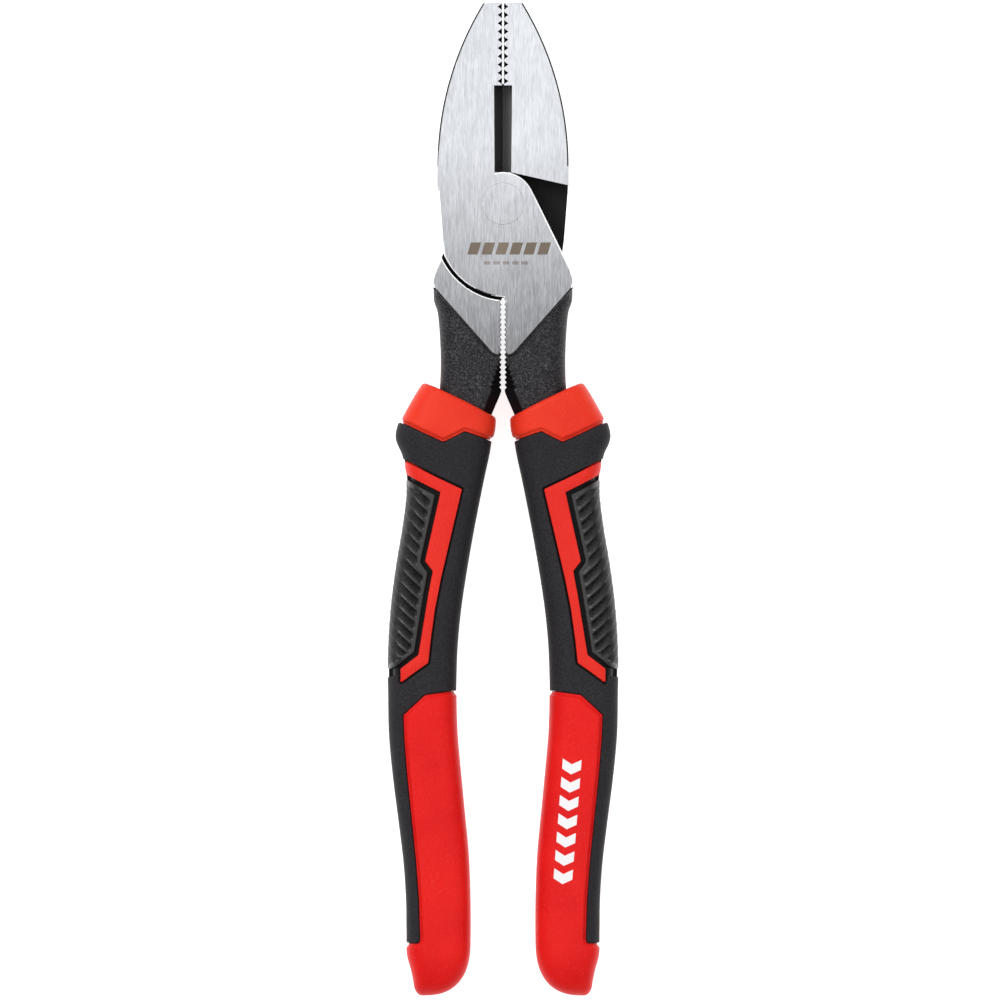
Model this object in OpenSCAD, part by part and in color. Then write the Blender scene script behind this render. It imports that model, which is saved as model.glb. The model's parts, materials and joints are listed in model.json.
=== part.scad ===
// Lineman pliers: two crossed forged halves on one rivet, each with a moulded two-colour grip.
// Plan view is XY with the jaw tips towards +Y, and the tool lies flat with its thickness along Z.

/* [Head] */
// Thickness of the ground head
head_t = 15.5; // [14:0.1:17]
// Pivot centre to the jaw tips
jaw_len = 48.2; // [44:0.1:52]
// Half width of the head at its widest
jaw_half_w = 15.75; // [14.5:0.05:16.5]
// Half width of the blunt nose at the tips
nose_half_w = 4.7; // [4:0.1:6]
// Radius of the round boss about the pivot
boss_r = 7.75; // [7.2:0.05:8.2]
// Angle of the tangent line that closes the joint plate, from the boss to the handle's shoulder
plate_angle = 26; // [24:0.5:28]
// Slope of each jaw's heel, the stop that meets the other plate when the pliers are fully open
heel_angle = 12.3; // [10:0.1:14]

/* [Joint] */
// Radius of the rivet's shaft
rivet_r = 4; // [3.5:0.1:4.4]
// Radius of the rivet's countersunk head at the ground face
rivet_head_r = 5; // [4.5:0.1:5.2]
// Depth of the countersink
rivet_head_h = 1.2; // [0.8:0.1:2]
// Radial running clearance of the rivet in the half that turns
rivet_play = 0.05; // [0.02:0.01:0.08]
// Gap between the two halves' flat faces, on each side of the middle
lap_gap = 0.04; // [0.02:0.01:0.1]

/* [Jaws] */
// Number of crosswise notches in each gripping face
tooth_count = 10; // [8:1:12]
// Pitch of the notches
tooth_pitch = 1.98; // [1.8:0.01:2]
// Depth of a notch
tooth_depth = 0.95; // [0.6:0.05:1.1]
// Half width of the slot over the cutting knives
slot_half_w = 1.95; // [1.6:0.05:1.98]
// Half height of a knife's wedge, where it leaves the slot wall
knife_half_h = 3; // [2:0.1:4]

/* [Wire puller] */
// Number of fine teeth on each handle's inner edge
puller_count = 18; // [14:1:18]
// Pitch of the fine teeth
puller_pitch = 1.2; // [1:0.01:1.22]
// Depth of a fine tooth
puller_depth = 0.45; // [0.2:0.05:0.5]
// Half the gap that the closed handles leave between the fine teeth
puller_half_gap = 0.5; // [0.4:0.05:0.8]

/* [Grips] */
// Half thickness of the grip at the thumb stop, its thickest place
grip_half_t = 9.9; // [9:0.1:11]
// Thickness of the outer moulding over the inner sleeve
skin_t = 2.2; // [1.6:0.1:2.4]
// How far the collar stands back from the shell beside it
collar_set_back = 0.5; // [0.2:0.1:0.8]
// How far the ribbed pad's border lies below the shell
pad_drop = 0.6; // [0.3:0.1:0.9]
// How far the ribs stand proud of the pad's border
rib_h = 0.7; // [0.4:0.1:0.9]
// Number of ribs on each pad
rib_count = 15; // [10:1:16]
// Joint seams between neighbouring mouldings
seam = 0.1; // [0.05:0.01:0.2]

/* [Hidden] */
$fn = 96;

half_t = head_t / 2;
grip_end = 189.8;
total_len = jaw_len + grip_end;
pivot_y = total_len / 2 - jaw_len;
mid_z = grip_half_t;
far = 40;

// ---- helpers ----

// Slope at knot i of a list of [position, value] knots.
function knot_slope(k, i) = let (a = max(i - 1, 0), b = min(i + 1, len(k) - 1))
    (k[b][1] - k[a][1]) / (k[b][0] - k[a][0]);
// Smooth value at s of a curve through the knots, a cubic between each two of them.
function smooth(k, s) = let (
    i = max([for (j = [0 : len(k) - 2]) if (k[j][0] <= s || j == 0) j]),
    h = k[i + 1][0] - k[i][0],
    t = (s - k[i][0]) / h)
    k[i][1] * (1 + 2 * t) * (1 - t) ^ 2 + k[i + 1][1] * t ^ 2 * (3 - 2 * t)
    + h * (knot_slope(k, i) * t * (1 - t) ^ 2 - knot_slope(k, i + 1) * t ^ 2 * (1 - t));
// Points of an arc from angle a to angle b.
function arc(c, r, a, b, n) = [for (i = [0 : n]) let (t = a + (b - a) * i / n) c + r * [cos(t), sin(t)]];
// Mirror image of a plan point.
function flip(p) = [-p[0], p[1]];

// Puts the pivot's own frame into the part's frame: the tool lies on z = 0, centred on its footprint.
module place() translate([0, pivot_y, mid_z]) children();
// The rear half is the front half turned half round about the tool's long axis.
module turned() rotate([0, 180, 0]) children();

// ---- head ----

// The jaw's outer side is one arc, square to X at cheek_y, through the nose corner.
cheek_y = 9;
cheek_r = ((jaw_half_w - nose_half_w) ^ 2 + (jaw_len - cheek_y) ^ 2) / (2 * (jaw_half_w - nose_half_w));
cheek_c = [cheek_r - jaw_half_w, cheek_y];
nose_turn = asin((jaw_len - cheek_y) / cheek_r);
// The notches run down from the nose, and the slot starts under them.
slot_top = jaw_len - tooth_count * tooth_pitch - 0.1;
heel_r = boss_r + 0.1;
// A point of the line that touches a circle of radius r about the pivot, at height x along X, on the left.
function heel_y(x) = (heel_r + x * sin(heel_angle)) / cos(heel_angle);
heel_inner = [-slot_half_w, heel_y(-slot_half_w)];
heel_outer = [-jaw_half_w + 0.05, heel_y(-jaw_half_w)];
// The round shoulder gap between one half's plate and the other half's handle.
shoulder_c = [1.4, -5.5];
plate_arc_r = 17;
shoulder_gap = 0.7;
shoulder_arc_r = plate_arc_r + shoulder_gap;
// Where the tangent line leaves the boss, and where it reaches the handle's shoulder.
plate_leave = boss_r * [cos(plate_angle), sin(plate_angle)];
shoulder_len = 22.4;
shoulder_tip = plate_leave + shoulder_len * [sin(plate_angle), -cos(plate_angle)];
shoulder_side = [17, -18.8];
knee = [[16.7, -22.4], [16.1, -24.6], [15.4, -26.6]];
// The ground face ends in a V towards the handle.
vee_side = [16.85, -19.7];
vee_low = [4.8, -35.5];
vee_toe = [[3.6, -36.4], [2.4, -36.7]];

// Left jaw's gripping face, from the nose down, with its notches.
function grip_teeth() = [for (i = [0 : tooth_count - 1], p = [0, 0.13, 0.5, 0.87])
    [-lap_gap - (p == 0.5 ? tooth_depth : 0), jaw_len - (i + p) * tooth_pitch]];

module jaw_outline() polygon(concat(
    grip_teeth(),
    [[-lap_gap, slot_top], [-slot_half_w, slot_top], heel_inner, heel_outer],
    arc(cheek_c, cheek_r, 180, 180 - nose_turn, 14)));

// The front plate: boss, tangent line, shoulder, and the round lower left side that the other handle clears.
module plate_outline() polygon(concat(
    [[-slot_half_w, heel_y(-slot_half_w) + 0.4], [-jaw_half_w + 0.02, cheek_y], [-15.1, -3.4], [-14.35, -12.55]],
    arc(shoulder_c, plate_arc_r, 204.4, 264, 16),
    [[puller_half_gap, -22.45], [puller_half_gap, -24], [16, -24], knee[0], shoulder_side, shoulder_tip],
    arc([0, 0], boss_r, plate_angle, 104, 16)));

// The handle's full-thickness root, from the round shoulder down to the V.
module root_outline() polygon(concat(
    arc(flip(shoulder_c), shoulder_arc_r, -24.4, -82.6, 16),
    [[puller_half_gap, -23.2], [puller_half_gap, -36.7]],
    [vee_toe[1], vee_toe[0], vee_low, vee_side, shoulder_side, shoulder_tip]));

// Fine teeth down the handle's inner edge.
puller_top = -22.9;
function puller_teeth() = [for (i = [0 : puller_count - 1], p = [0, 0.25, 0.5, 0.75])
    [puller_half_gap + (p == 0.5 || p == 0.75 ? puller_depth : 0), puller_top - (i + p) * puller_pitch]];

// Shank and tang in plan. The tang follows the grip's middle, narrowing to its end.
tang_end = 178;
tang_top = 54;
function tang_half_w(s) = smooth([[50, 6.3], [60, 5.2], [90, 4], [130, 3.6], [178, 3.2]], s);
tang_steps = [for (i = [0 : 12]) tang_top + (tang_end - tang_top) * i / 12];
module shank_outline() polygon(concat(
    puller_teeth(),
    [[1.3, -45.6], [2.7, -49.6]],
    [for (s = tang_steps) [grip_mid(s) - tang_half_w(s), -s]],
    [for (i = [len(tang_steps) - 1 : -1 : 0]) let (s = tang_steps[i]) [grip_mid(s) + tang_half_w(s), -s]],
    [[15.6, -47.5], [14.8, -41], [14.9, -34], knee[2], knee[1], knee[0], shoulder_side, [8, -21.5]]));
// Shank and tang from the side: [distance below the pivot, half thickness].
shank_side = [[20, 6.9], [38, 6.2], [50, 5.6], [62, 4.4], [90, 3.9], [tang_end, 3.2]];
module shank() intersection() {
    linear_extrude(head_t, center = true) shank_outline();
    rotate([90, 0, 90]) linear_extrude(far, center = false)
        polygon(concat([for (p = shank_side) [-p[0], p[1]]],
            [for (i = [len(shank_side) - 1 : -1 : 0]) [-shank_side[i][0], -shank_side[i][1]]]));
}

// The cutting knife: a wedge along the slot whose edge lies in the middle of the thickness.
knife_low = heel_r + 0.2;
module knife() translate([0, slot_top, 0]) rotate([90, 0, 0]) linear_extrude(slot_top - knife_low)
    polygon([[-slot_half_w - 0.5, -knife_half_h], [-slot_half_w, -knife_half_h], [-lap_gap / 2, 0],
        [-slot_half_w, knife_half_h], [-slot_half_w - 0.5, knife_half_h]]);

// The rivet's solid, grown by play all round.
module rivet_form(play = 0) {
    cylinder(h = head_t, r = rivet_r + play, center = true);
    for (side = [-1, 1]) scale([1, 1, side]) translate([0, 0, half_t - rivet_head_h])
        cylinder(h = rivet_head_h, r1 = rivet_r + play, r2 = rivet_head_r + play);
}

// One forged half: left jaw, front plate, and right handle with its tang.
module forged_half(play) difference() {
    union() {
        linear_extrude(head_t, center = true) jaw_outline();
        translate([0, 0, lap_gap]) linear_extrude(half_t - lap_gap) plate_outline();
        linear_extrude(head_t, center = true) root_outline();
        shank();
        knife();
    }
    rivet_form(play);
}

module front_half() color("lightsteelblue") place() forged_half(0);
module rear_half() color("lightsteelblue") place() turned() forged_half(rivet_play);
module pivot_rivet() color("silver") place() rivet_form();

// ---- grips ----

// Plan of the right grip: [distance below the pivot, distance from the middle line].
outer_edge = [[40, 17.5], [43, 19.8], [51, 24.3], [55.5, 25.4], [58.5, 24.9], [61.5, 23.9], [65, 23.35], [70, 23.1],
    [76, 23.8], [84, 25], [93, 26.4], [101, 27.2], [109, 27.6], [117, 27.5], [127, 27.2], [137, 26.3], [148, 24.8],
    [158, 23.6], [167, 22.95], [178, 22.9], [183, 22.3], [187, 21.3], [grip_end, 19.6]];
inner_edge = [[40, 1.7], [50, 1.9], [55, 2.1], [58, 2.9], [65, 4.5], [72, 6], [83, 8.05], [94, 9.75], [105, 10.95],
    [112, 11.4], [119, 11.35], [127, 11.1], [134, 10.6], [144, 9.6], [155, 8.5], [163, 8.1], [172, 7.95], [180, 8.2],
    [184, 8.9], [187.5, 10.7], [grip_end, 13.8]];
// Half thickness of the grip down its length.
side_edge = [[40, 9.5], [50, 9.7], [56, grip_half_t], [62, 9], [70, 8.6], [90, 8.6], [110, 8.5], [130, 8.2],
    [160, 7.8], [178, 7.6], [184, 7.1], [187.5, 5.9], [grip_end, 3.4]];
function grip_mid(s) = (smooth(outer_edge, s) + smooth(inner_edge, s)) / 2;
function grip_half_w(s) = (smooth(outer_edge, s) - smooth(inner_edge, s)) / 2;

// One ring of the grip: a rounded rectangle, drawn in by inset, at distance s below the pivot.
ring_n = 24;
square_power = 0.72;
function soft(v) = sign(v) * abs(v) ^ square_power;
function ring(s, inset) = [for (i = [0 : ring_n - 1]) let (a = 360 * (i + 0.5) / ring_n)
    [grip_mid(s) + (grip_half_w(s) - inset) * soft(cos(a)), -s, (smooth(side_edge, s) - inset) * soft(sin(a))]];
// A closed body through the rings at the stations, drawn in by inset.
module grip_body(stations, inset = 0) {
    n = len(stations);
    points = [for (s = stations) each ring(s, inset)];
    sides = [for (k = [0 : n - 2], i = [0 : ring_n - 1]) let (j = (i + 1) % ring_n, a = k * ring_n, b = a + ring_n)
        each [[a + i, b + i, b + j], [a + i, b + j, a + j]]];
    polyhedron(points, concat(sides, [[for (i = [0 : ring_n - 1]) i]],
        [[for (i = [ring_n - 1 : -1 : 0]) (n - 1) * ring_n + i]]));
}
outside_stations = [41, 46, 51, 53, 55.5, 58, 60, 62.5, 66, 71, 77, 84, 92, 100, 108, 116, 124, 132, 140, 148, 156, 164,
    172, 178, 182, 185, 187.5, grip_end];
core_end = grip_end - 4;
core_stations = [41, 46, 51, 55.5, 58, 60, 62.5, 66, 71, 77, 84, 92, 100, 108, 116, 124, 132, 140, 148, 156,
    164, 172, 178, 182, core_end];
// The stations from low to high.
function span(stations, low, high) = [for (s = stations) if (s >= low && s <= high) s];

// Plan outlines of the mouldings on the right grip.
collar_top = [[19.4, -43], [2.4, -50.4]];
collar_low = [[24, -52.7], [14.3, -57.4], [9.1, -54.5], [2, -57]];
top_slope = (collar_top[0][1] - collar_top[1][1]) / (collar_top[0][0] - collar_top[1][0]);
function top_y(x) = collar_top[0][1] + (x - collar_top[0][0]) * top_slope;
stripe_inner = [[30, -59.2], [23.7, -61.9], [9.8, -68.3], [13.3, -83], [16.4, -97.4], [18.2, -109.8], [24.9, -114.7]];
stripe_outer = [[24.9, -111.7], [20.9, -108.6], [18.6, -97.4], [17, -88.2], [18.7, -85.9], [15.1, -69.6], [22.9, -65.2],
    [30, -61.8]];
pad_low = [[26.6, -112.4], [30, -113.6]];
rib_edge = [[22.9, -67.6], [16.6, -70.6], [20.1, -85.4], [18.5, -88], [20.3, -97.4], [22, -107.6], [25.4, -110.4],
    [28, -112.2]];
end_top = [[5, -116.3], [12.4, -117], [18.8, -117.7], [23.8, -122.6]];
strip_edge = [[127, 23.8], [137, 23.3], [148, 22.2], [158, 21.1], [167, 20.4], [177.4, 20]];

module prism(points) linear_extrude(2 * grip_half_t + 2, center = true) polygon(points);
module collar_region() prism(concat([[far, top_y(far)], [-5, top_y(-5)]],
    [[-5, collar_low[3][1] - 2]], [for (i = [3 : -1 : 0]) collar_low[i]], [[far, collar_low[0][1] + 8]]));
module above_collar() prism([[far, top_y(far)], [-5, top_y(-5)], [-5, -30], [far, -30]]);
module stripe_region() prism(concat(stripe_inner, stripe_outer));
module pad_region() prism(concat(stripe_outer, [[34, -61.8], [34, -113.6]], [pad_low[1], pad_low[0]]));
module rib_region() prism(concat(rib_edge, [[34, -114], [34, -62]]));
module end_region() prism(concat(end_top, [for (p = strip_edge) [p[1], -p[0]]],
    [[far, -177.4], [far, -grip_end - 5], [-5, -grip_end - 5], [-5, -115.5]]));

// Between the outside, drawn in by inset, and the inner sleeve, clear of the steel, from low to high.
module skin(inset = 0, low = 0, high = grip_end) difference() {
    grip_body(span(outside_stations, low, high), inset);
    grip_body(span(core_stations, low - 5, high + 8), skin_t);
    shank();
}

module inner_sleeve() difference() {
    grip_body(core_stations, skin_t);
    shank();
    above_collar();
}
module collar() intersection() {
    skin(collar_set_back, 41, 60);
    collar_region();
}
module grip_shell() difference() {
    skin();
    collar_region();
    above_collar();
    stripe_region();
    pad_region();
    end_region();
}
module stripe() intersection() {
    skin(seam, 55.5, 116);
    stripe_region();
}
rib_pitch = 2.85;
module rib_pad() intersection() {
    difference() {
        skin(pad_drop - rib_h, 60, 116);
        difference() {
            grip_body(span(outside_stations, 58, 124), pad_drop - rib_h - 1);
            grip_body(span(outside_stations, 55.5, 132), pad_drop);
            for (i = [0 : rib_count - 1]) intersection() {
                rib_region();
                translate([22, -69.5 - i * rib_pitch, 0]) rotate(-26)
                    cube([far, rib_pitch * 0.55, far], center = true);
            }
        }
    }
    pad_region();
}
module end_sleeve() intersection() {
    skin(seam);
    end_region();
}

module right_side() place() children();
module left_side() place() turned() children();
module right_inner_sleeve() color("dimgray") right_side() inner_sleeve();
module right_collar() color("orangered") right_side() collar();
module right_grip_shell() color("darkslategray") right_side() grip_shell();
module right_stripe() color("orangered") right_side() stripe();
module right_rib_pad() color("black") right_side() rib_pad();
module right_end_sleeve() color("red") right_side() end_sleeve();
module left_inner_sleeve() color("dimgray") left_side() inner_sleeve();
module left_collar() color("orangered") left_side() collar();
module left_grip_shell() color("darkslategray") left_side() grip_shell();
module left_stripe() color("orangered") left_side() stripe();
module left_rib_pad() color("black") left_side() rib_pad();
module left_end_sleeve() color("red") left_side() end_sleeve();

front_half();
rear_half();
pivot_rivet();
right_inner_sleeve();
right_collar();
right_grip_shell();
right_stripe();
right_rib_pad();
right_end_sleeve();
left_inner_sleeve();
left_collar();
left_grip_shell();
left_stripe();
left_rib_pad();
left_end_sleeve();
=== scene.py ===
"""Lineman pliers: a ground steel head, black forged shanks and two-colour moulded grips.

Shapes are worked out in millimetres about the pivot, in the forging's own frame: +Y runs towards
the jaw tips, +Z towards the front face, and the front forging holds the left jaw and the right
handle. The rear forging and its grip are the same shapes turned half round about the long axis.
"""

from __future__ import annotations

import json
import logging
from dataclasses import dataclass
from enum import Enum, IntEnum
from math import asin, cos, degrees, pi, radians, sin, sqrt
from typing import ClassVar, Sequence

import bpy
import numpy as np
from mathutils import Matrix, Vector


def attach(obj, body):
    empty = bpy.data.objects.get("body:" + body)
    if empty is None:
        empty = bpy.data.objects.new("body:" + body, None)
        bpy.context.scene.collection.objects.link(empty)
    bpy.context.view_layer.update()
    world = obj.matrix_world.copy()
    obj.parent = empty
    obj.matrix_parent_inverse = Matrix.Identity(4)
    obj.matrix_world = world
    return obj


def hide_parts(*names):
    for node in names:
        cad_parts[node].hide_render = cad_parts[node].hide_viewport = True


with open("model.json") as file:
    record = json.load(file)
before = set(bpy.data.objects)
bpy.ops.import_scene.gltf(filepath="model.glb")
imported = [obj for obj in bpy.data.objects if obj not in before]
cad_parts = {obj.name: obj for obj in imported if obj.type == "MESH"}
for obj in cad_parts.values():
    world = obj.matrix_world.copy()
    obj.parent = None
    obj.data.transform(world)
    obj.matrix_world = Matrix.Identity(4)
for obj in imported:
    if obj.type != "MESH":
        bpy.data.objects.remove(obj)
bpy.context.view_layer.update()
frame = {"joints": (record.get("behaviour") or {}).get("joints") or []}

Array = np.ndarray
log = logging.getLogger("pliers")
MM = 0.001


# ---------------------------------------------------------------- curves and outlines


def smooth(knots: Sequence[Sequence[float]], s: Array | float) -> Array:
    """Gives a smooth curve through knots of [position, value].

    Between two knots the value is the cubic that meets both with the slopes of their neighbours.

    Args:
        knots: Positions in rising order, each with its value.
        s: Positions to read the curve at.

    Returns:
        The curve's values.
    """
    table = np.asarray(knots, float)
    x, y = table[:, 0], table[:, 1]
    slope = np.gradient(y, x, edge_order=1)
    slope[1:-1] = (y[2:] - y[:-2]) / (x[2:] - x[:-2])
    i = np.clip(np.searchsorted(x, s, side="right") - 1, 0, len(x) - 2)
    h = x[i + 1] - x[i]
    t = (s - x[i]) / h
    rise = y[i] * (1 + 2 * t) * (1 - t) ** 2 + y[i + 1] * t**2 * (3 - 2 * t)
    return rise + h * (slope[i] * t * (1 - t) ** 2 - slope[i + 1] * t**2 * (1 - t))


def ease(low: float, high: float, value: Array) -> Array:
    """Rises from 0 at low to 1 at high along 3t^2 - 2t^3, where t is the way between them.

    Args:
        low: Value up to which the result is 0.
        high: Value from which the result is 1.
        value: Values to read.

    Returns:
        The eased values.
    """
    t = np.clip((value - low) / (high - low), 0, 1)
    return t * t * (3 - 2 * t)


def arc(centre: Sequence[float], radius: float, start: float, end: float, steps: int) -> Array:
    """Gives points on a circle: the centre plus radius * (cos a, sin a).

    Args:
        centre: Centre in plan.
        radius: Radius.
        start: First angle in degrees.
        end: Last angle.
        steps: Steps between them.

    Returns:
        One more point than steps, in order.
    """
    angle = np.radians(np.linspace(start, end, steps + 1))
    return np.asarray(centre) + radius * np.column_stack((np.cos(angle), np.sin(angle)))


def mirrored(points: Array) -> Array:
    """Mirrors plan points across the middle line.

    Args:
        points: Points by x and y.

    Returns:
        The same points with x negated.
    """
    return np.asarray(points) * (-1, 1)


def rounded(points: Sequence[Sequence[float]], radius: float, steps: int = 5) -> Array:
    """Rounds every corner of a closed outline.

    Each corner becomes the parabola that touches both sides at radius / tan(half the corner's
    angle) from it, or nearer where a side is short.

    Args:
        points: Corners in order.
        radius: Radius of the rounding.
        steps: Points along each rounding, less one.

    Returns:
        The rounded outline's points.
    """
    corner = np.asarray(points, float)
    back = np.roll(corner, 1, axis=0) - corner
    ahead = np.roll(corner, -1, axis=0) - corner
    back_len = np.linalg.norm(back, axis=1)
    ahead_len = np.linalg.norm(ahead, axis=1)
    cosine = np.clip((back * ahead).sum(1) / (back_len * ahead_len), -0.999, 0.999)
    longest = 0.45 * np.minimum(back_len, ahead_len)
    reach = np.minimum(radius / np.tan(np.arccos(cosine) / 2), longest)
    start = corner + back * (reach / back_len)[:, None]
    end = corner + ahead * (reach / ahead_len)[:, None]
    t = np.linspace(0, 1, steps + 1)[None, :, None]
    curve = (1 - t) ** 2 * start[:, None] + 2 * t * (1 - t) * corner[:, None] + t**2 * end[:, None]
    return curve.reshape(-1, 2)


def depth_inside(outline: Array, x: Array, y: Array) -> Array:
    """Measures how deep points lie inside a closed outline in plan.

    The size is the distance to the nearest side, and the sign comes from counting how many sides
    a line towards +X crosses.

    Args:
        outline: Corners of the outline in order.
        x: Points' x.
        y: Points' y.

    Returns:
        The depth in millimetres, negative outside.
    """
    nearest = np.full(x.shape, np.inf)
    inside = np.zeros(x.shape, bool)
    for (ax, ay), (bx, by) in zip(outline, np.roll(outline, -1, axis=0)):
        ex, ey = bx - ax, by - ay
        length_sq = ex * ex + ey * ey
        if length_sq < 1e-12:
            continue
        t = np.clip(((x - ax) * ex + (y - ay) * ey) / length_sq, 0, 1)
        nearest = np.minimum(nearest, (x - ax - t * ex) ** 2 + (y - ay - t * ey) ** 2)
        if ay != by:
            crossed = ((ay > y) != (by > y)) & (x < ex * (y - ay) / ey + ax)
            inside ^= crossed
    return np.where(inside, 1, -1) * np.sqrt(nearest)


# ---------------------------------------------------------------- meshes


@dataclass(frozen=True)
class Solid:
    """A closed triangle mesh in the forging's frame.

    Attributes:
        points: Vertices in millimetres.
        faces: Triangles, or polygons of any size, as vertex numbers.
    """

    points: Array
    faces: Array | list

    def object(self, name: str, turned: bool = False) -> bpy.types.Object:
        """Makes a Blender object whose place is in its mesh.

        Args:
            name: The object's name.
            turned: Whether the shape is turned half round about the long axis.

        Returns:
            The object, linked to the scene.
        """
        mesh = bpy.data.meshes.new(name)
        faces = self.faces if isinstance(self.faces, list) else self.faces.tolist()
        mesh.from_pydata(PLACE.of(self.points, turned), [], faces)
        mesh.validate()
        made = bpy.data.objects.new(name, mesh)
        bpy.context.scene.collection.objects.link(made)
        return made


@dataclass(frozen=True)
class Place:
    """Where the forging's frame stands in the part's frame.

    Attributes:
        pivot: The pivot's place in millimetres.
    """

    pivot: tuple[float, float, float]

    @classmethod
    def from_frame(cls) -> Place:
        """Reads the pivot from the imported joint."""
        hinge = next(j for j in frame["joints"] if j["name"] == "pivot")
        return cls(tuple(v / MM for v in hinge["pos_m"]))

    def of(self, points: Array, turned: bool) -> Array:
        """Moves points from the forging's frame, in millimetres, to the part's frame, in metres.

        Args:
            points: Points by x, y and z.
            turned: Whether they are first turned half round about the long axis, which negates
                x and z.

        Returns:
            The moved points.
        """
        side = -1.0 if turned else 1.0
        return (np.asarray(points) * (side, 1, side) + self.pivot) * MM

    def back(self, points: Array) -> Array:
        """Gives points of the part's frame, in metres, from the pivot and in millimetres."""
        return points / MM - self.pivot


PLACE = Place.from_frame()


def shade(made: bpy.types.Object, sharp: float) -> None:
    """Shades a mesh smooth, but keeps its sharp edges.

    Args:
        made: The object whose mesh is shaded.
        sharp: Bend in degrees from which an edge stays sharp.
    """
    mesh = made.data
    mesh.polygons.foreach_set("use_smooth", np.ones(len(mesh.polygons), bool))
    mesh.set_sharp_from_angle(angle=radians(sharp))
    mesh.update()


def prism(low: Array, high: Array, z_low: float, z_high: float,
          bevel_low: Array | float = 0, bevel_high: Array | float = 0) -> Solid:
    """Makes a straight-sided solid whose upper and lower edges are rounded.

    The wall joins the low outline to the high one. At either end it turns in along a quarter
    circle, whose radius may change along the outline: at angle a the wall has gone in by
    radius * (1 - cos a) along the mitred normal, and on by radius * sin a in height.

    Args:
        low: Outline at the bottom.
        high: Outline at the top, with as many points.
        z_low: Height of the bottom.
        z_high: Height of the top.
        bevel_low: Radius of the lower edge, one for all points or one each.
        bevel_high: Radius of the upper edge.

    Returns:
        The closed solid.
    """
    low, high = np.asarray(low, float), np.asarray(high, float)
    area = np.dot(low[:, 0], np.roll(low[:, 1], -1)) - np.dot(low[:, 1], np.roll(low[:, 0], -1))
    order = slice(None) if area > 0 else slice(None, None, -1)
    low, high = low[order], high[order]
    count = len(low)
    shortest = 0.35  # keeps the mitre of a sharp corner from running far in
    rows = []
    for outline, z, bevel, side in ((low, z_low, bevel_low, -1), (high, z_high, bevel_high, 1)):
        radius = np.broadcast_to(np.asarray(bevel, float), count)[order]
        ahead = np.roll(outline, -1, axis=0) - outline
        ahead /= np.linalg.norm(ahead, axis=1)[:, None]
        behind = np.roll(ahead, 1, axis=0)
        inward = np.column_stack((-(ahead + behind)[:, 1], (ahead + behind)[:, 0]))
        inward /= np.maximum((inward**2).sum(1) / 2, shortest)[:, None]
        angles = (90, 60, 30, 0) if side < 0 else (0, 30, 60, 90)
        if not radius.any():
            angles = (0,)
        for angle in angles:
            shift = radius * (1 - cos(radians(angle)))
            height = z - side * radius * (1 - sin(radians(angle)))
            rows.append(np.column_stack((outline + inward * shift[:, None], height)))
    points = np.concatenate(rows)
    i = np.arange(count)
    j = (i + 1) % count
    faces: list = []
    for k in range(len(rows) - 1):
        a, b = k * count, (k + 1) * count
        faces += np.column_stack((a + i, a + j, b + j, b + i)).tolist()
    faces.append(i[::-1].tolist())
    faces.append(((len(rows) - 1) * count + i).tolist())
    return Solid(points, faces)


def disc(radius: float, half: float, bevel: float = 0.0) -> Solid:
    """Makes a disc about the pivot.

    Args:
        radius: Radius of the disc.
        half: It reaches from -half to half in z.
        bevel: Rounding of both edges.

    Returns:
        The closed solid.
    """
    ring = arc((0, 0), radius, 0, 360, 120)[:-1]
    return prism(ring, ring, -half, half, bevel, bevel)


class Join(Enum):
    """How one solid is worked into another."""

    ADD = "UNION"
    CUT = "DIFFERENCE"


def worked(made: bpy.types.Object, tool: Solid, how: Join) -> None:
    """Adds a solid to an object's mesh, or cuts it away, and leaves one closed skin.

    Args:
        made: The object to work on.
        tool: The solid.
        how: Whether it is added or cut away.
    """
    other = tool.object("tool")
    change = made.modifiers.new("work", "BOOLEAN")
    change.operation = how.value
    change.solver = "MANIFOLD"
    change.object = other
    evaluated = made.evaluated_get(bpy.context.evaluated_depsgraph_get())
    result = bpy.data.meshes.new_from_object(evaluated)
    made.modifiers.clear()
    old, made.data = made.data, result
    bpy.data.meshes.remove(old)
    bpy.data.meshes.remove(other.data)


# ---------------------------------------------------------------- rivet and forged halves


@dataclass(frozen=True)
class Rivet:
    """The pivot rivet, ground flush with both faces of the head.

    Attributes:
        radius: Radius of its ends.
        ring: Gap round it.
        bevel: Rounding of its edges.
        sunk: How far its ends lie below the head's faces.
    """

    radius: float = 5.0
    ring: float = 0.02
    bevel: float = 0.035
    sunk: float = 0.005

    def build(self, half_t: float) -> bpy.types.Object:
        """Makes the rivet.

        Args:
            half_t: Half thickness of the head.

        Returns:
            The object, shaded.
        """
        made = disc(self.radius, half_t - self.sunk, self.bevel).object("rivet_ground_flush")
        shade(made, 20)
        for cap in made.data.polygons[-2:]:
            cap.use_smooth = False
        return made


class Face(IntEnum):
    """The finishes on a forged half, by their place in its list of materials."""

    GROUND = 0
    FORGED = 1
    KNIFE = 2
    # blackened steel, darkened further as painted shade
    LAP = 3
    # bright rims, a painted highlight
    RIM = 4


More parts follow.
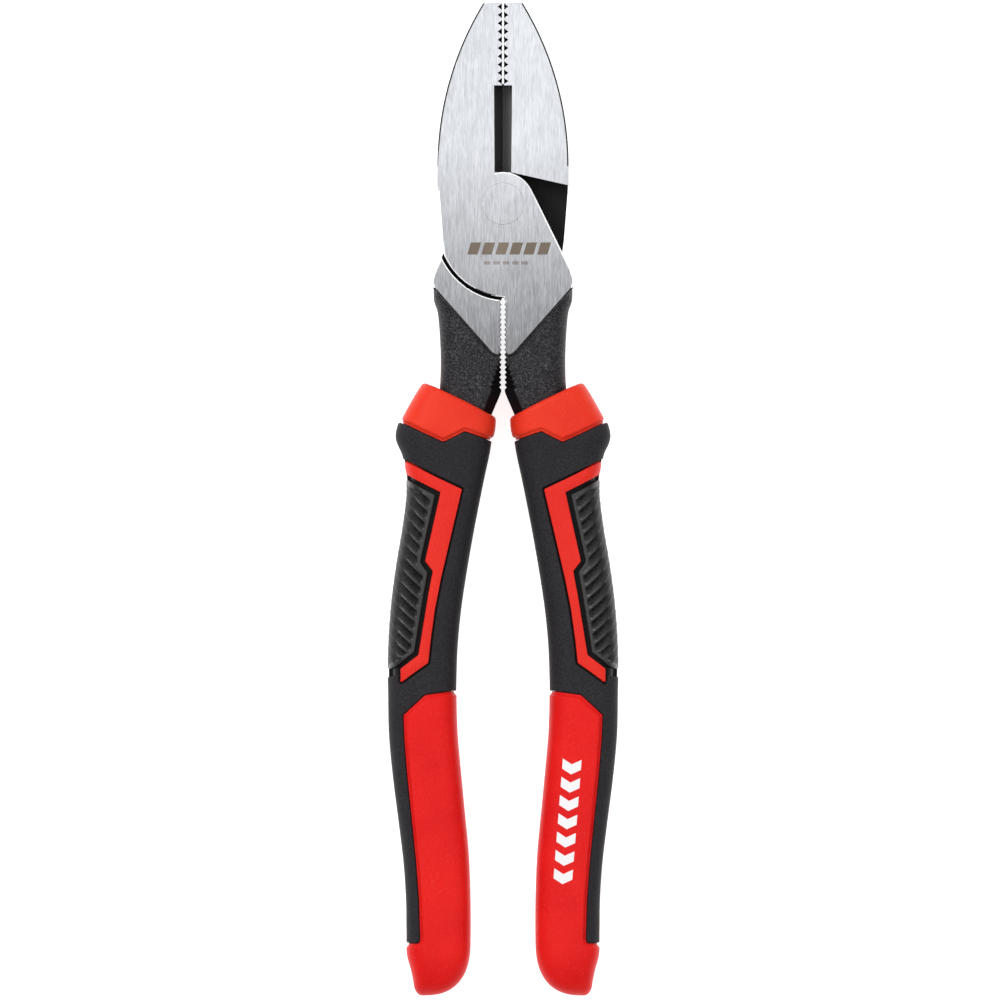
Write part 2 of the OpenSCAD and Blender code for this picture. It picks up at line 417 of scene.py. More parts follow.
@dataclass(frozen=True)
class Forging:
    """One forged half: the left jaw, the front joint plate, and the right handle's shank.

    Attributes:
        half_t: Half thickness of the ground head.
        jaw_len: Pivot to the jaw tips.
        jaw_half_w: Half width of the head at its widest.
        nose_half_w: Half width of the blunt nose.
        cheek_y: Height at which the jaw's outer side runs straight along Y.
        boss_r: Radius of the round boss about the pivot.
        plate_angle: Direction from the pivot to where the plate's edge leaves the boss.
        plate_side: Length of the plate's straight edge from there on.
        round_at: Centre of the plate's round lower side.
        round_r: Radius of that side.
        round_gap: Width of the gap between it and the handle's root.
        root_end: Distance below the pivot at which the ground root meets the middle.
        heel_angle: Slope of the jaw's heel.
        lap: Gap from the middle plane to each plate's flat face.
        jaw_gap: Half the gap between the closed gripping faces.
        slot_half_w: Half width of the slot over the knives, at its lower end.
        slot_flare: How much further out each wall stands at the upper end.
        tooth_count: Notches in the gripping face.
        tooth_pitch: Pitch of the notches.
        tooth_depth: Depth of a notch at the ground faces.
        tooth_waist: Depth of a notch half way through the jaw.
        puller_top: Distance below the pivot at which the wire puller's fine teeth start.
        puller_end: Distance below the pivot at which they end.
        puller_count: Number of fine teeth.
        puller_gap: Half the gap between the fine teeth's crests.
        puller_depth: Depth of a fine tooth.
        edge: Rounding of the ground faces' machined edges.
        rim: Rounding of the rims of the boss, the plate and the round gap, which are painted bright as a
            highlight.
        cheek_edge: Rounding of the head's outer edges, left as forged.
        vee_edge: Rounding of the shoulder under the ground V.
        shank_squareness: Exponent of the shank's rounded section.
        shank_outer: The shank's outer edge in plan, as [distance below the pivot, x].
        shank_half: Its half thickness, likewise.
        shank_clear: How far its inner face stands back from the fine teeth's line.
        shank_facet: Width of the facet beside its inner face.
        rivet: The pivot rivet, whose hole is cut through the head.
    """

    half_t: float = 7.75
    jaw_len: float = 48.2
    jaw_half_w: float = 15.75
    nose_half_w: float = 4.7
    cheek_y: float = 9.0
    boss_r: float = 7.65
    plate_angle: float = 26.0
    plate_side: float = 21.2
    round_at: tuple[float, float] = (1.4, -5.5)
    round_r: float = 17.0
    round_gap: float = 0.7
    root_end: float = 36.1
    heel_angle: float = 12.8
    lap: float = 0.04
    jaw_gap: float = 0.2
    slot_half_w: float = 1.9
    slot_flare: float = 0.2
    tooth_count: int = 10
    tooth_pitch: float = 1.98
    tooth_depth: float = 1.0
    tooth_waist: float = 0.06
    puller_top: float = 22.9
    puller_end: float = 44.6
    puller_count: int = 18
    puller_gap: float = 0.36
    puller_depth: float = 0.5
    edge: float = 0.14
    rim: float = 0.3
    cheek_edge: float = 0.38
    vee_edge: float = 0.5
    shank_squareness: float = 3.1
    shank_outer: tuple = ((19, 16.7), (23.0, 16.6), (24.2, 16.3), (25.4, 15.85), (27, 15.55),
                          (32, 15.15), (38, 14.95), (44, 15.15), (50, 15.8), (60, 16.5))
    shank_half: tuple = ((19, 7.35), (26, 7.1), (38, 6.7), (50, 6.2), (60, 5.4))
    shank_clear: tuple = ((19, 0), (44.6, 0), (45.6, 0.25), (50, 2.1), (60, 6))
    shank_facet: tuple = ((19, 0.05), (36.6, 0.05), (39, 0.7), (44.6, 2.35), (50, 2.4), (60, 2.4))
    rivet: Rivet = Rivet()

    @property
    def slot_top(self) -> float:
        """Height of the slot's upper end, just under the last notch."""
        return self.jaw_len - self.tooth_count * self.tooth_pitch - 0.1

    @property
    def puller_step(self) -> float:
        """Pitch of the fine teeth."""
        return (self.puller_end - self.puller_top) / self.puller_count

    def slot_corner(self) -> Array:
        """Gives the slot's upper edge, from the jaw gap to its wall."""
        wall = -self.slot_half_w - self.slot_flare
        return np.array(((-self.jaw_gap, self.slot_top), (wall, self.slot_top)))

    def heel(self, x: float) -> float:
        """Gives the jaw's heel, a straight line that touches a circle just outside the boss.

        Args:
            x: Place across the tool.

        Returns:
            The line's height there.
        """
        slope, clear = radians(self.heel_angle), 0.07
        return (self.boss_r + clear + x * sin(slope)) / cos(slope)

    def teeth(self, depth: float) -> Array:
        """Gives the gripping face from the nose down: a row of V notches.

        Args:
            depth: Depth of the notches.

        Returns:
            The face's points in plan.
        """
        start = self.jaw_len - np.arange(self.tooth_count) * self.tooth_pitch
        share = np.array((0.0, 0.14, 0.5, 0.86))
        y = (start[:, None] - share * self.tooth_pitch).ravel()
        x = np.where(np.tile(share == 0.5, self.tooth_count), -self.jaw_gap - depth, -self.jaw_gap)
        return np.column_stack((x, y))

    def puller_x(self, s: Array) -> Array:
        """Gives the toothed inner edge: a row of pointed teeth.

        The edge goes back by the depth times 1 - |2t - 1|, where t is the way along one tooth.

        Args:
            s: Distances below the pivot.

        Returns:
            The edge's x at those distances.
        """
        turns = (s - self.puller_top) / (self.puller_end - self.puller_top) * self.puller_count
        turns = np.clip(turns, 0, self.puller_count)
        wave = 1 - np.abs(2 * (turns - np.floor(turns)) - 1)
        return self.puller_gap + self.puller_depth * wave

    def puller(self) -> Array:
        """Gives the toothed inner edge in plan, from the ground root's end up.

        Returns:
            The crests and the bottoms of its teeth.
        """
        s = np.arange(self.puller_top, self.root_end, self.puller_step / 2)[::-1]
        return np.column_stack((self.puller_x(s), -s))

    def round_side(self, gap: float, start: float, end: float, steps: int) -> Array:
        """Gives the arc of the handle's root that runs round the plate's lower side.

        Args:
            gap: How far it stands off from the plate.
            start: First angle in degrees.
            end: Last angle.
            steps: Steps between them.

        Returns:
            The arc's points.
        """
        return arc(mirrored(self.round_at), self.round_r + gap, start, end, steps)

    def cheek(self) -> Array:
        """Gives the jaw's outer side: one arc from the widest place up to the nose corner.

        An arc that starts along Y and goes in by the run over the rise has the radius
        (run^2 + rise^2) / (2 * run).

        Returns:
            The arc's points.
        """
        run, rise = self.jaw_half_w - self.nose_half_w, self.jaw_len - self.cheek_y
        radius = (run**2 + rise**2) / (2 * run)
        turn = degrees(asin(rise / radius))
        return arc((radius - self.jaw_half_w, self.cheek_y), radius, 180, 180 - turn, 28)

    def vee(self) -> Array:
        """Gives the lower border of the ground face on the right, from the side to the middle.

        A straight slope, then the parabola (1 - t)^2 low + 2t(1 - t) corner + t^2 toe.

        Returns:
            The border's points.
        """
        side, low = np.array((16.75, -20.3)), np.array((4.0, -34.7))
        corner, toe = np.array((2.75, -36.35)), np.array((1.7, -36.5))
        t = np.linspace(0, 1, 9)[1:, None]
        bend = (1 - t) ** 2 * low + 2 * t * (1 - t) * corner + t**2 * toe
        return np.vstack((side, low, bend, (0.9, -36.5)))

    def side(self) -> Array:
        """Gives the plate's right edge, from the boss's tangent down to the V's upper corner.

        Returns:
            The edge's points.
        """
        angle = radians(self.plate_angle)
        leave = self.boss_r * np.array((cos(angle), sin(angle)))
        tip = leave + self.plate_side * np.array((sin(angle), -cos(angle)))
        return np.vstack((leave, tip, (16.62, -17.1), (16.9, -17.9), (16.95, -18.8)))

    def front_outline(self, notch: float) -> tuple[Array, Array]:
        """Gives the outline of the front level: jaw, plate and ground root in one piece.

        Args:
            notch: Depth of the gripping teeth's notches.

        Returns:
            The outline, and the rounding of the upper edge at each of its points.
        """
        start = degrees(asin(self.slot_half_w / self.boss_r)) + 90
        cheek = self.cheek()
        cheek_edge = self.edge + (self.cheek_edge - self.edge) * ease(8, 16, cheek[:, 1])
        parts = (
            (self.teeth(notch), self.edge),
            (self.slot_corner(), self.edge),
            (arc((0, 0), self.boss_r, start, self.plate_angle + 3, 14), self.rim),
            (self.side(), self.rim),
            (self.vee(), self.vee_edge),
            (self.puller(), self.edge),
            (arc(self.round_at, self.round_r, 266, 204.4, 18), self.rim),
            (np.array(((-14.6, -9.0), (-15.05, -3.4), (-15.55, 3.0))), self.rim),
            (cheek, cheek_edge),
        )
        return self._joined(parts)

    def jaw_outline(self, notch: float) -> tuple[Array, Array]:
        """Gives the outline of the jaw on the rear level.

        Args:
            notch: Depth of the gripping teeth's notches.

        Returns:
            The outline, and the rounding of the lower edge at each of its points.
        """
        heel_in = (-self.slot_half_w, self.heel(-self.slot_half_w))
        heel_out = (-self.jaw_half_w + 0.03, self.heel(-self.jaw_half_w))
        parts = (
            (self.teeth(notch), self.edge),
            (self.slot_corner(), self.edge),
            (np.array((heel_in, heel_out)), self.edge),
            (self.cheek(), self.cheek_edge),
        )
        return self._joined(parts)

    def root_outline(self) -> tuple[Array, Array]:
        """Gives the outline of the handle's root on the rear level.

        Returns:
            The outline, and the rounding of the lower edge at each of its points.
        """
        parts = (
            (self.puller(), self.edge),
            (self.round_side(self.round_gap, -83, -24.4, 18), self.rim),
            (self.side()[1:], self.rim),
            (self.vee(), self.vee_edge),
        )
        return self._joined(parts)

    @staticmethod
    def _joined(parts: Sequence[tuple[Array, Array | float]]) -> tuple[Array, Array]:
        """Joins stretches of outline, each with its own edge rounding."""
        outline = np.vstack([p for p, _ in parts])
        return outline, np.concatenate([np.broadcast_to(r, len(p)) for p, r in parts])

    def shank(self) -> Solid:
        """Makes the forged shank from above the V down to its end inside the grip.

        Each section is a closed ring: the toothed inner face, a facet that leans back from it,
        and a quarter superellipse x = run * sin(a)^(2/n), z = half * cos(a)^(2/n) from the
        facet's crest round to the outer side, and the same mirrored below.

        Returns:
            The closed solid.
        """
        fine = self.puller_step / 4
        toothed = self.puller_top + np.arange(-12, 4 * self.puller_count + 1) * fine
        s = np.concatenate((toothed, np.arange(45.0, 59.0, 0.5)))
        outer, half = smooth(self.shank_outer, s), smooth(self.shank_half, s)
        inner = self.puller_x(s) + 0.015 + smooth(self.shank_clear, s)
        facet = smooth(self.shank_facet, s)
        crest_x, lean = inner + facet, half - np.minimum(facet * 1.7, 0.62 * half)
        a = np.radians(np.linspace(0, 90, 15))
        start = crest_x + 0.42 * (outer - crest_x)
        run = (outer - start)[:, None]
        power = 2 / self.shank_squareness
        top_x = start[:, None] + run * np.sin(a) ** power
        top_z = half[:, None] * np.cos(a) ** power
        top_z[:, -1] = 0
        near = np.stack((inner, inner, crest_x, crest_x + 0.5, 0.5 * (crest_x + start)), 1)
        near_z = np.stack((0 * half, lean, half - 0.35, half - 0.16, half - 0.03), 1)
        x, z = np.hstack((near, top_x)), np.hstack((near_z, top_z))
        x, z = np.hstack((x, x[:, -2:0:-1])), np.hstack((z, -z[:, -2:0:-1]))
        y = np.broadcast_to(-s[:, None], x.shape)
        rows, count = x.shape
        points = np.stack((x, y, z), -1).reshape(-1, 3)
        k = np.arange(rows - 1)[:, None] * count
        i = np.arange(count)[None, :]
        j = (i + 1) % count
        quads = np.stack((k + i, k + count + i, k + count + j, k + j), -1).reshape(-1, 4)
        last = (rows - 1) * count + i[0]
        return Solid(points, [*quads.tolist(), i[0].tolist(), last[::-1].tolist()])

    def knife(self) -> Solid:
        """Makes the cutting knife: a wedge across the slot with its edge in the middle plane.

        Returns:
            The closed solid.
        """
        low, high = self.boss_r + 0.02, self.slot_top + 0.5
        wall, inside, edge, rise = -self.slot_half_w, -self.slot_half_w - 0.6, -0.002, 3.0
        profile = np.array(((inside, -rise), (wall, -rise), (edge, -0.05),
                            (edge, 0.05), (wall, rise), (inside, rise)))
        count = len(profile)
        x, z = profile.T
        ends = [np.column_stack((x, np.full(count, y), z)) for y in (low, high)]
        i = np.arange(count)
        j = (i + 1) % count
        sides = np.column_stack((i, i + count, j + count, j)).tolist()
        return Solid(np.vstack(ends), [*sides, i.tolist(), (i + count)[::-1].tolist()])

    def clearance(self, gap: float) -> Array:
        """Gives the outline of the room that the other half's plate turns in.

        Args:
            gap: How far its round side stands off from the plate.

        Returns:
            The outline.
        """
        return np.vstack((self.round_side(gap, -86, -20, 24), ((10, -5), (0.2, -5))))

    def build(self, name: str, turned: bool) -> bpy.types.Object:
        """Makes the whole forged half as one closed skin.

        Args:
            name: The object's name.
            turned: Whether it is the rear half.

        Returns:
            The object, shaded, with each face marked with its finish.
        """
        upper, upper_edge = self.front_outline(self.tooth_depth)
        waist, _ = self.front_outline(self.tooth_waist)
        jaw_low, jaw_edge = self.jaw_outline(self.tooth_depth)
        jaw_waist, _ = self.jaw_outline(self.tooth_waist)
        root, root_edge = self.root_outline()
        body = self.shank().object(name)
        beyond = 12.0
        low_room, high_room = self.clearance(self.round_gap), self.clearance(0.2)
        worked(body, prism(low_room, low_room, -beyond, self.lap), Join.CUT)
        worked(body, prism(high_room, high_room, 0, beyond), Join.CUT)
        worked(body, prism(root, root, -self.half_t, self.lap, root_edge, 0), Join.ADD)
        worked(body, prism(waist, upper, self.lap, self.half_t, 0, upper_edge), Join.ADD)
        worked(body, prism(jaw_low, jaw_waist, -self.half_t, self.lap, jaw_edge, 0), Join.ADD)
        worked(body, self.knife(), Join.ADD)
        worked(body, disc(self.rivet.radius + self.rivet.ring, 20.0), Join.CUT)
        mesh = body.data
        if turned:
            points = np.empty(len(mesh.vertices) * 3, np.float32)
            mesh.vertices.foreach_get("co", points)
            local = PLACE.back(points.reshape(-1, 3))
            mesh.vertices.foreach_set("co", PLACE.of(local, True).ravel())
        shade(body, 28)
        self._mark_faces(mesh)
        return body

    def _mark_faces(self, mesh: bpy.types.Mesh) -> None:
        """Marks each face with its finish, and shades the flat ones flat.

        The finish follows from where a face lies and how much it faces up or down. The rims take a
        near-white finish as a painted highlight, and the lap faces and the shank's facet take a dark
        finish that is blackening and painted shade together.

        Args:
            mesh: The forged half's mesh.
        """
        count = len(mesh.polygons)
        normal, centre = np.empty(count * 3, np.float32), np.empty(count * 3, np.float32)
        mesh.materials.clear()
        mesh.update()
        mesh.polygons.foreach_get("normal", normal)
        mesh.polygons.foreach_get("center", centre)
        x, y, z = PLACE.back(centre.reshape(-1, 3)).T
        across, height = np.abs(x), np.abs(z)
        facing = np.abs(normal.reshape(-1, 3)[:, 2])
        inward = -normal.reshape(-1, 3)[:, 0] * np.sign(x)

        flat = (facing > 0.99) & (height > self.half_t - 0.02)
        lap = (facing > 0.99) & (height < 0.5)
        cheek = (y > self.cheek_y + 0.5) & (across > self.nose_half_w - 0.2)
        round_x, round_y = self.round_at
        off_right = np.hypot(across - round_x, y - round_y)
        off_left = np.hypot(across + round_x, y - round_y)
        off_round = np.minimum(off_left, off_right) - self.round_r
        on_round = np.abs(off_round - self.round_gap / 2) <= 0.9
        vee = (y < -20.1) & (across > 1.3) & ~on_round
        edge = (facing > 0.1) & (height > self.half_t - self.rim) & ~cheek & ~vee
        boss = np.hypot(x, y) < self.boss_r + 0.03
        toothed = (across < 2.8) & (y < -23.4)
        # the rims take a near-white finish as a painted highlight
        rim = edge & ~flat & (boss | (y < 4.2)) & ~toothed
        leaning = (facing > 0.3) & (facing < 0.9) & (inward > 0.35)
        facet = (y < -37) & (across < 8) & leaning
        in_slot = (across < self.slot_half_w) & (y > self.boss_r) & (y < self.slot_top)
        knife = in_slot & (height < 3)

        # the lap faces and the facet take the lap finish, blackening with painted shade on top
        where = (rim, flat | edge, knife & ~lap, lap | facet)
        finish = (Face.RIM, Face.GROUND, Face.KNIFE, Face.LAP)
        index = np.select(where, [f.value for f in finish], Face.FORGED.value)
        mesh.polygons.foreach_set("material_index", index.astype(np.int32))
        mesh.polygons.foreach_set("use_smooth", ~(flat | lap | knife))


# ---------------------------------------------------------------- grips


def across_columns(values: Array) -> Array:
    """Gives the step from column to column round the grip: half that between both neighbours.

    Args:
        values: Values on a grid whose last column meets the first.

    Returns:
        The steps, on the same grid.
    """
    return (np.roll(values, -1, axis=1) - np.roll(values, 1, axis=1)) / 2


@dataclass(frozen=True)
class Skin:
    """A grid of points on the grip's outer form.

    Attributes:
        points: Rows down the grip by columns round it, by x, y and z.
        normals: Outward normals.
        round_arc: Arc length of each column from the outer side's middle, on a typical section.
    """

    points: Array
    normals: Array
    round_arc: Array

    @property
    def x(self) -> Array:
        """Each point's x."""
        return self.points[..., 0]

    @property
    def y(self) -> Array:
        """Each point's y."""
        return self.points[..., 1]

    def slopes(self, values: Array) -> Array:
        """Gives the gradient of values over the surface, as vectors in space.

        With the steps p and q along the two grid directions, the gradient is the mix of p and q
        whose products with p and q are the values' own steps.

        Args:
            values: A value at each grid point.

        Returns:
            The gradient at each grid point.
        """
        p, q = np.gradient(self.points, axis=0), across_columns(self.points)
        up, uq = np.gradient(values, axis=0), across_columns(values)
        pp, pq, qq = (p * p).sum(-1), (p * q).sum(-1), (q * q).sum(-1)
        scale = 1 / np.maximum(pp * qq - pq * pq, 1e-12)
        along_p, along_q = (up * qq - uq * pq) * scale, (uq * pp - up * pq) * scale
        return along_p[..., None] * p + along_q[..., None] * q


@dataclass(frozen=True)
class GripForm:
    """The outer form of the right grip, by distance s below the pivot.

    Attributes:
        outer: Plan edge away from the middle line.
        inner: Plan edge towards the middle line.
        half: Half thickness.
        squareness: Exponent n of each section's superellipse |x/w|^n + |z/t|^n = 1.
        round_n: The same exponent for the round end.
        cap: Where the round end starts.
        corner: Where the outer edge's own, shorter rounding starts.
        end: The grip's very end.
        tip_x: Where the two plan edges meet at the end.
    """

    outer: tuple = ((38, 16.6), (41.5, 18.7), (46, 21.6), (51, 24.4), (53.2, 25.35), (55.5, 25.8),
                    (57.3, 25.5), (60, 24.3), (62.5, 23.75), (66, 23.3), (70, 23.25), (78, 24.25),
                    (86, 25.6), (94, 26.7), (102, 27.4), (110, 27.7), (117, 27.6), (127, 27.4),
                    (137, 26.5), (148, 25.1), (158, 23.9), (167, 23.3), (174, 23.2), (180, 23.0),
                    (184, 22.0), (187, 21.4), (190, 21.1))
    inner: tuple = ((38, 1.6), (50, 1.8), (54, 2.0), (57, 2.7), (60, 3.2), (66, 4.5), (74, 6.1),
                    (82, 7.6), (90, 8.95), (98, 10.1), (106, 10.85), (112, 11.1), (119, 11.2),
                    (127, 10.95), (134, 10.35), (144, 9.4), (155, 8.35), (163, 7.95), (172, 7.8),
                    (180, 7.9), (190, 8.2))
    half: tuple = ((38, 9.2), (46, 9.6), (51, 9.75), (55.5, 9.9), (60, 9.3), (66, 8.7), (90, 8.6),
                   (110, 8.5), (130, 8.2), (160, 7.8), (180, 7.6), (190, 7.5))
    squareness: float = 3.2
    round_n: float = 2.6
    cap: float = 177.0
    corner: float = 187.5
    end: float = 189.9
    tip_x: float = 19.4

    def edges(self, s: Array) -> tuple[Array, Array, Array]:
        """Gives the form's size at distances s below the pivot.

        Towards the end each edge closes along its own superellipse: it covers the share
        1 - (1 - q^n)^(1/n) of its way to the tip, where q is the way gone to the end. The outer
        edge does so along a quarter ellipse, n = 2.

        Args:
            s: The distances.

        Returns:
            The outer edge, the inner edge and the half thickness.
        """
        q_in = np.clip((s - self.cap) / (self.end - self.cap), 0, 1)
        q_out = np.clip((s - self.corner) / (self.end - self.corner), 0, 1)
        left_in = (1 - q_in**self.round_n) ** (1 / self.round_n)
        share_in, share_out = 1 - left_in, 1 - np.sqrt(1 - q_out**2)
        out, inn = smooth(self.outer, s), smooth(self.inner, s)
        half = smooth(self.half, s) * left_in
        return out + (self.tip_x - out) * share_out, inn + (self.tip_x - inn) * share_in, half

    def skin(self, s_start: float, s_end: float, step: float, columns: int) -> Skin:
        """Lays the grid of points over a stretch of the grip.

        At angle a a section's point is x = wide * cos(a)^(2/n), z = high * sin(a)^(2/n), with the
        signs kept. The angles are chosen so that the points are evenly spaced.

        Args:
            s_start: Distance of the first row.
            s_end: Distance of the last row.
            step: Distance between rows, closer towards the round end.
            columns: Points round the grip, evenly spaced on a typical section.

        Returns:
            The grid.
        """
        body_end = min(s_end, self.cap)
        s = np.linspace(s_start, body_end, int((body_end - s_start) / step) + 1)
        if s_end > self.cap:
            v = np.linspace(0, 1, int(2.2 * (self.end - self.cap) / step) + 1)[1:]
            s = np.concatenate((s, self.cap + (self.end - self.cap) * (1 - (1 - v) ** 2.5)))
            s = s[s <= s_end + 1e-9]
        typical_w, typical_h = 8.2, 8.4
        fine = np.linspace(0, 2 * pi, 4001)
        power = 2 / self.squareness
        wide = np.sign(np.cos(fine)) * np.abs(np.cos(fine)) ** power
        high = np.sign(np.sin(fine)) * np.abs(np.sin(fine)) ** power
        stretch = np.hypot(np.diff(typical_w * wide), np.diff(typical_h * high))
        length = np.concatenate(((0,), np.cumsum(stretch)))
        at = np.arange(columns) / columns * length[-1]
        wide, high = np.interp(at, length, wide), np.interp(at, length, high)
        outer, inner, half = (e[:, None] for e in self.edges(s))
        x = (outer + inner) / 2 + (outer - inner) / 2 * wide
        points = np.stack((x, np.broadcast_to(-s[:, None], x.shape), half * high), -1)
        normal = np.cross(across_columns(points), np.gradient(points, axis=0))
        size = np.linalg.norm(normal, axis=-1, keepdims=True)
        normal = np.where(size > 1e-9, normal / np.maximum(size, 1e-12), (0.0, -1.0, 0.0))
        return Skin(points, normal, np.minimum(at, length[-1] - at))


@dataclass(frozen=True)
class Rim:
    """One edge of a moulding, with its rounding.

    Attributes:
        inside: How deep each grid point lies inside this edge, in plan.
        radius: Rounding of the edge.
    """

    inside: Array
    radius: float


def clipped(points: Array, triangles: Array, keep: Array) -> tuple[Array, Array, Array]:
    """Cuts a triangle mesh along the line where a value passes zero.

    A triangle with one corner kept shrinks to a smaller one, and a triangle with two corners kept
    becomes two. Each new point lies where the value, linear along the edge, is zero.

    Args:
        points: Rows of numbers carried by each vertex, its place among them.
        triangles: Vertex numbers, three to a row.
        keep: Value at each vertex; the side above zero stays.

    Returns:
        The new rows, the new triangles, and the new border's edges in the triangles' order.
    """
    keep = np.where(np.abs(keep) < 1e-6, 1e-6, keep)
    above = keep > 0
    number = above[triangles].sum(1)
    whole = triangles[number == 3]
    single, double = triangles[number == 1], triangles[number == 2]
    turn = np.argmax(above[single], 1)
    single = single[np.arange(len(single))[:, None], (turn[:, None] + np.arange(3)) % 3]
    turn = np.argmin(above[double], 1)
    double = double[np.arange(len(double))[:, None], (turn[:, None] + np.arange(3)) % 3]
    lone = np.concatenate((single, double))
    pairs = np.sort(np.concatenate((lone[:, (0, 1)], lone[:, (0, 2)])), 1)
    edges, which = np.unique(pairs, axis=0, return_inverse=True)
    which = which.ravel()
    a, b = edges[:, 0], edges[:, 1]
    t = (keep[a] / (keep[a] - keep[b]))[:, None]
    fresh = points[a] * (1 - t) + points[b] * t
    cut = which + len(points)
    cut_1, cut_2 = cut[:len(lone)], cut[len(lone):]
    n = len(single)
    small = np.column_stack((single[:, 0], cut_1[:n], cut_2[:n]))
    first = np.column_stack((cut_1[n:], double[:, 1], double[:, 2]))
    second = np.column_stack((cut_1[n:], double[:, 2], cut_2[n:]))
    border = np.concatenate((np.column_stack((cut_1[:n], cut_2[:n])),
                             np.column_stack((cut_2[n:], cut_1[n:]))))
    rows, faces = np.concatenate((points, fresh)), np.concatenate((whole, small, first, second))
    used, faces_new = np.unique(faces, return_inverse=True)
    index = np.full(len(rows), -1)
    index[used] = np.arange(len(used))
    return rows[used], faces_new.reshape(-1, 3), index[border]


def moulding(skin: Skin, rims: Sequence[Rim], height: Array | float, depth: float) -> Solid:
    """Makes a moulding that covers part of the grip's form.

    The grid is cut a rounding's radius inside each rim. From the cut the surface turns down along
    a quarter circle, out by radius * sin(a) and in by radius * (1 - cos(a)), and goes on as a
    wall to its full depth, where a copy of the outer surface closes it from inside.

    Args:
        skin: Grid on the grip's outer form.
        rims: Edges of the moulding.
        height: How far the surface stands above the form, for all points or each.
        depth: Depth of the walls under the form.

    Returns:
        The closed solid.
    """
    shape = skin.x.shape
    least_slope, back_gap = 0.35, 0.25
    room = np.full(shape, np.inf)
    outward, radius = np.zeros(shape + (3,)), np.zeros(shape)
    for rim in rims:
        slope = skin.slopes(rim.inside)
        steep = np.maximum(np.linalg.norm(slope, axis=-1), least_slope)
        left = rim.inside / steep - rim.radius
        nearer = left < room
        room = np.where(nearer, left, room)
        outward[nearer] = (-slope / steep[..., None])[nearer]
        radius[nearer] = rim.radius
    height = np.broadcast_to(np.asarray(height, float), shape)
    surface = skin.points + skin.normals * height[..., None]
    rows_n, columns = shape
    closes = np.ptp(skin.points[-1], axis=0).max() < 1e-6
    number = np.arange(rows_n * columns).reshape(shape)
    if closes:
        number[-1] = number[-1, 0]
    ahead = np.roll(number, -1, axis=1)
    a, b, c, d = number[:-1], ahead[:-1], ahead[1:], number[1:]
    halves = np.stack((a, b, c), -1), np.stack((a, c, d), -1)
    faces = np.concatenate([half.reshape(-1, 3) for half in halves])
    faces = faces[(faces != np.roll(faces, 1, axis=1)).all(1)]
    carried = np.concatenate((surface, skin.normals, outward, radius[..., None]), -1).reshape(-1, 10)
    carried, faces, border = clipped(carried, faces, room.ravel())
    place, normal = carried[:, :3], carried[:, 3:6]
    normal = normal / np.linalg.norm(normal, axis=1, keepdims=True)
    count = len(place)
    edge_points, local = np.unique(border, return_inverse=True)
    local = local.reshape(-1, 2)
    start, up = place[edge_points], normal[edge_points]
    out = carried[edge_points, 6:9]
    out -= up * (out * up).sum(1, keepdims=True)
    out /= np.maximum(np.linalg.norm(out, axis=1, keepdims=True), 1e-6)
    r = carried[edge_points, 9:]
    rings = [start + out * r * sin(t) - up * r * (1 - cos(t)) for t in np.radians((30.0, 60.0, 90.0))]
    rings.append(start + out * r - up * (r + depth))
    under = place - normal * (depth + back_gap)
    points = [place, *rings, under]
    m = len(edge_points)
    levels = [edge_points] + [count + k * m + np.arange(m) for k in range(len(rings))]
    levels.append(count + len(rings) * m + edge_points)
    walls = []
    for low, high in zip(levels[:-1], levels[1:]):
        p, q = low[local[:, 0]], low[local[:, 1]]
        u, v = high[local[:, 0]], high[local[:, 1]]
        walls += [np.column_stack((q, p, u)), np.column_stack((q, u, v))]
    back = faces[:, ::-1] + count + len(rings) * m
    return Solid(np.concatenate(points), np.concatenate((faces, *walls, back)))


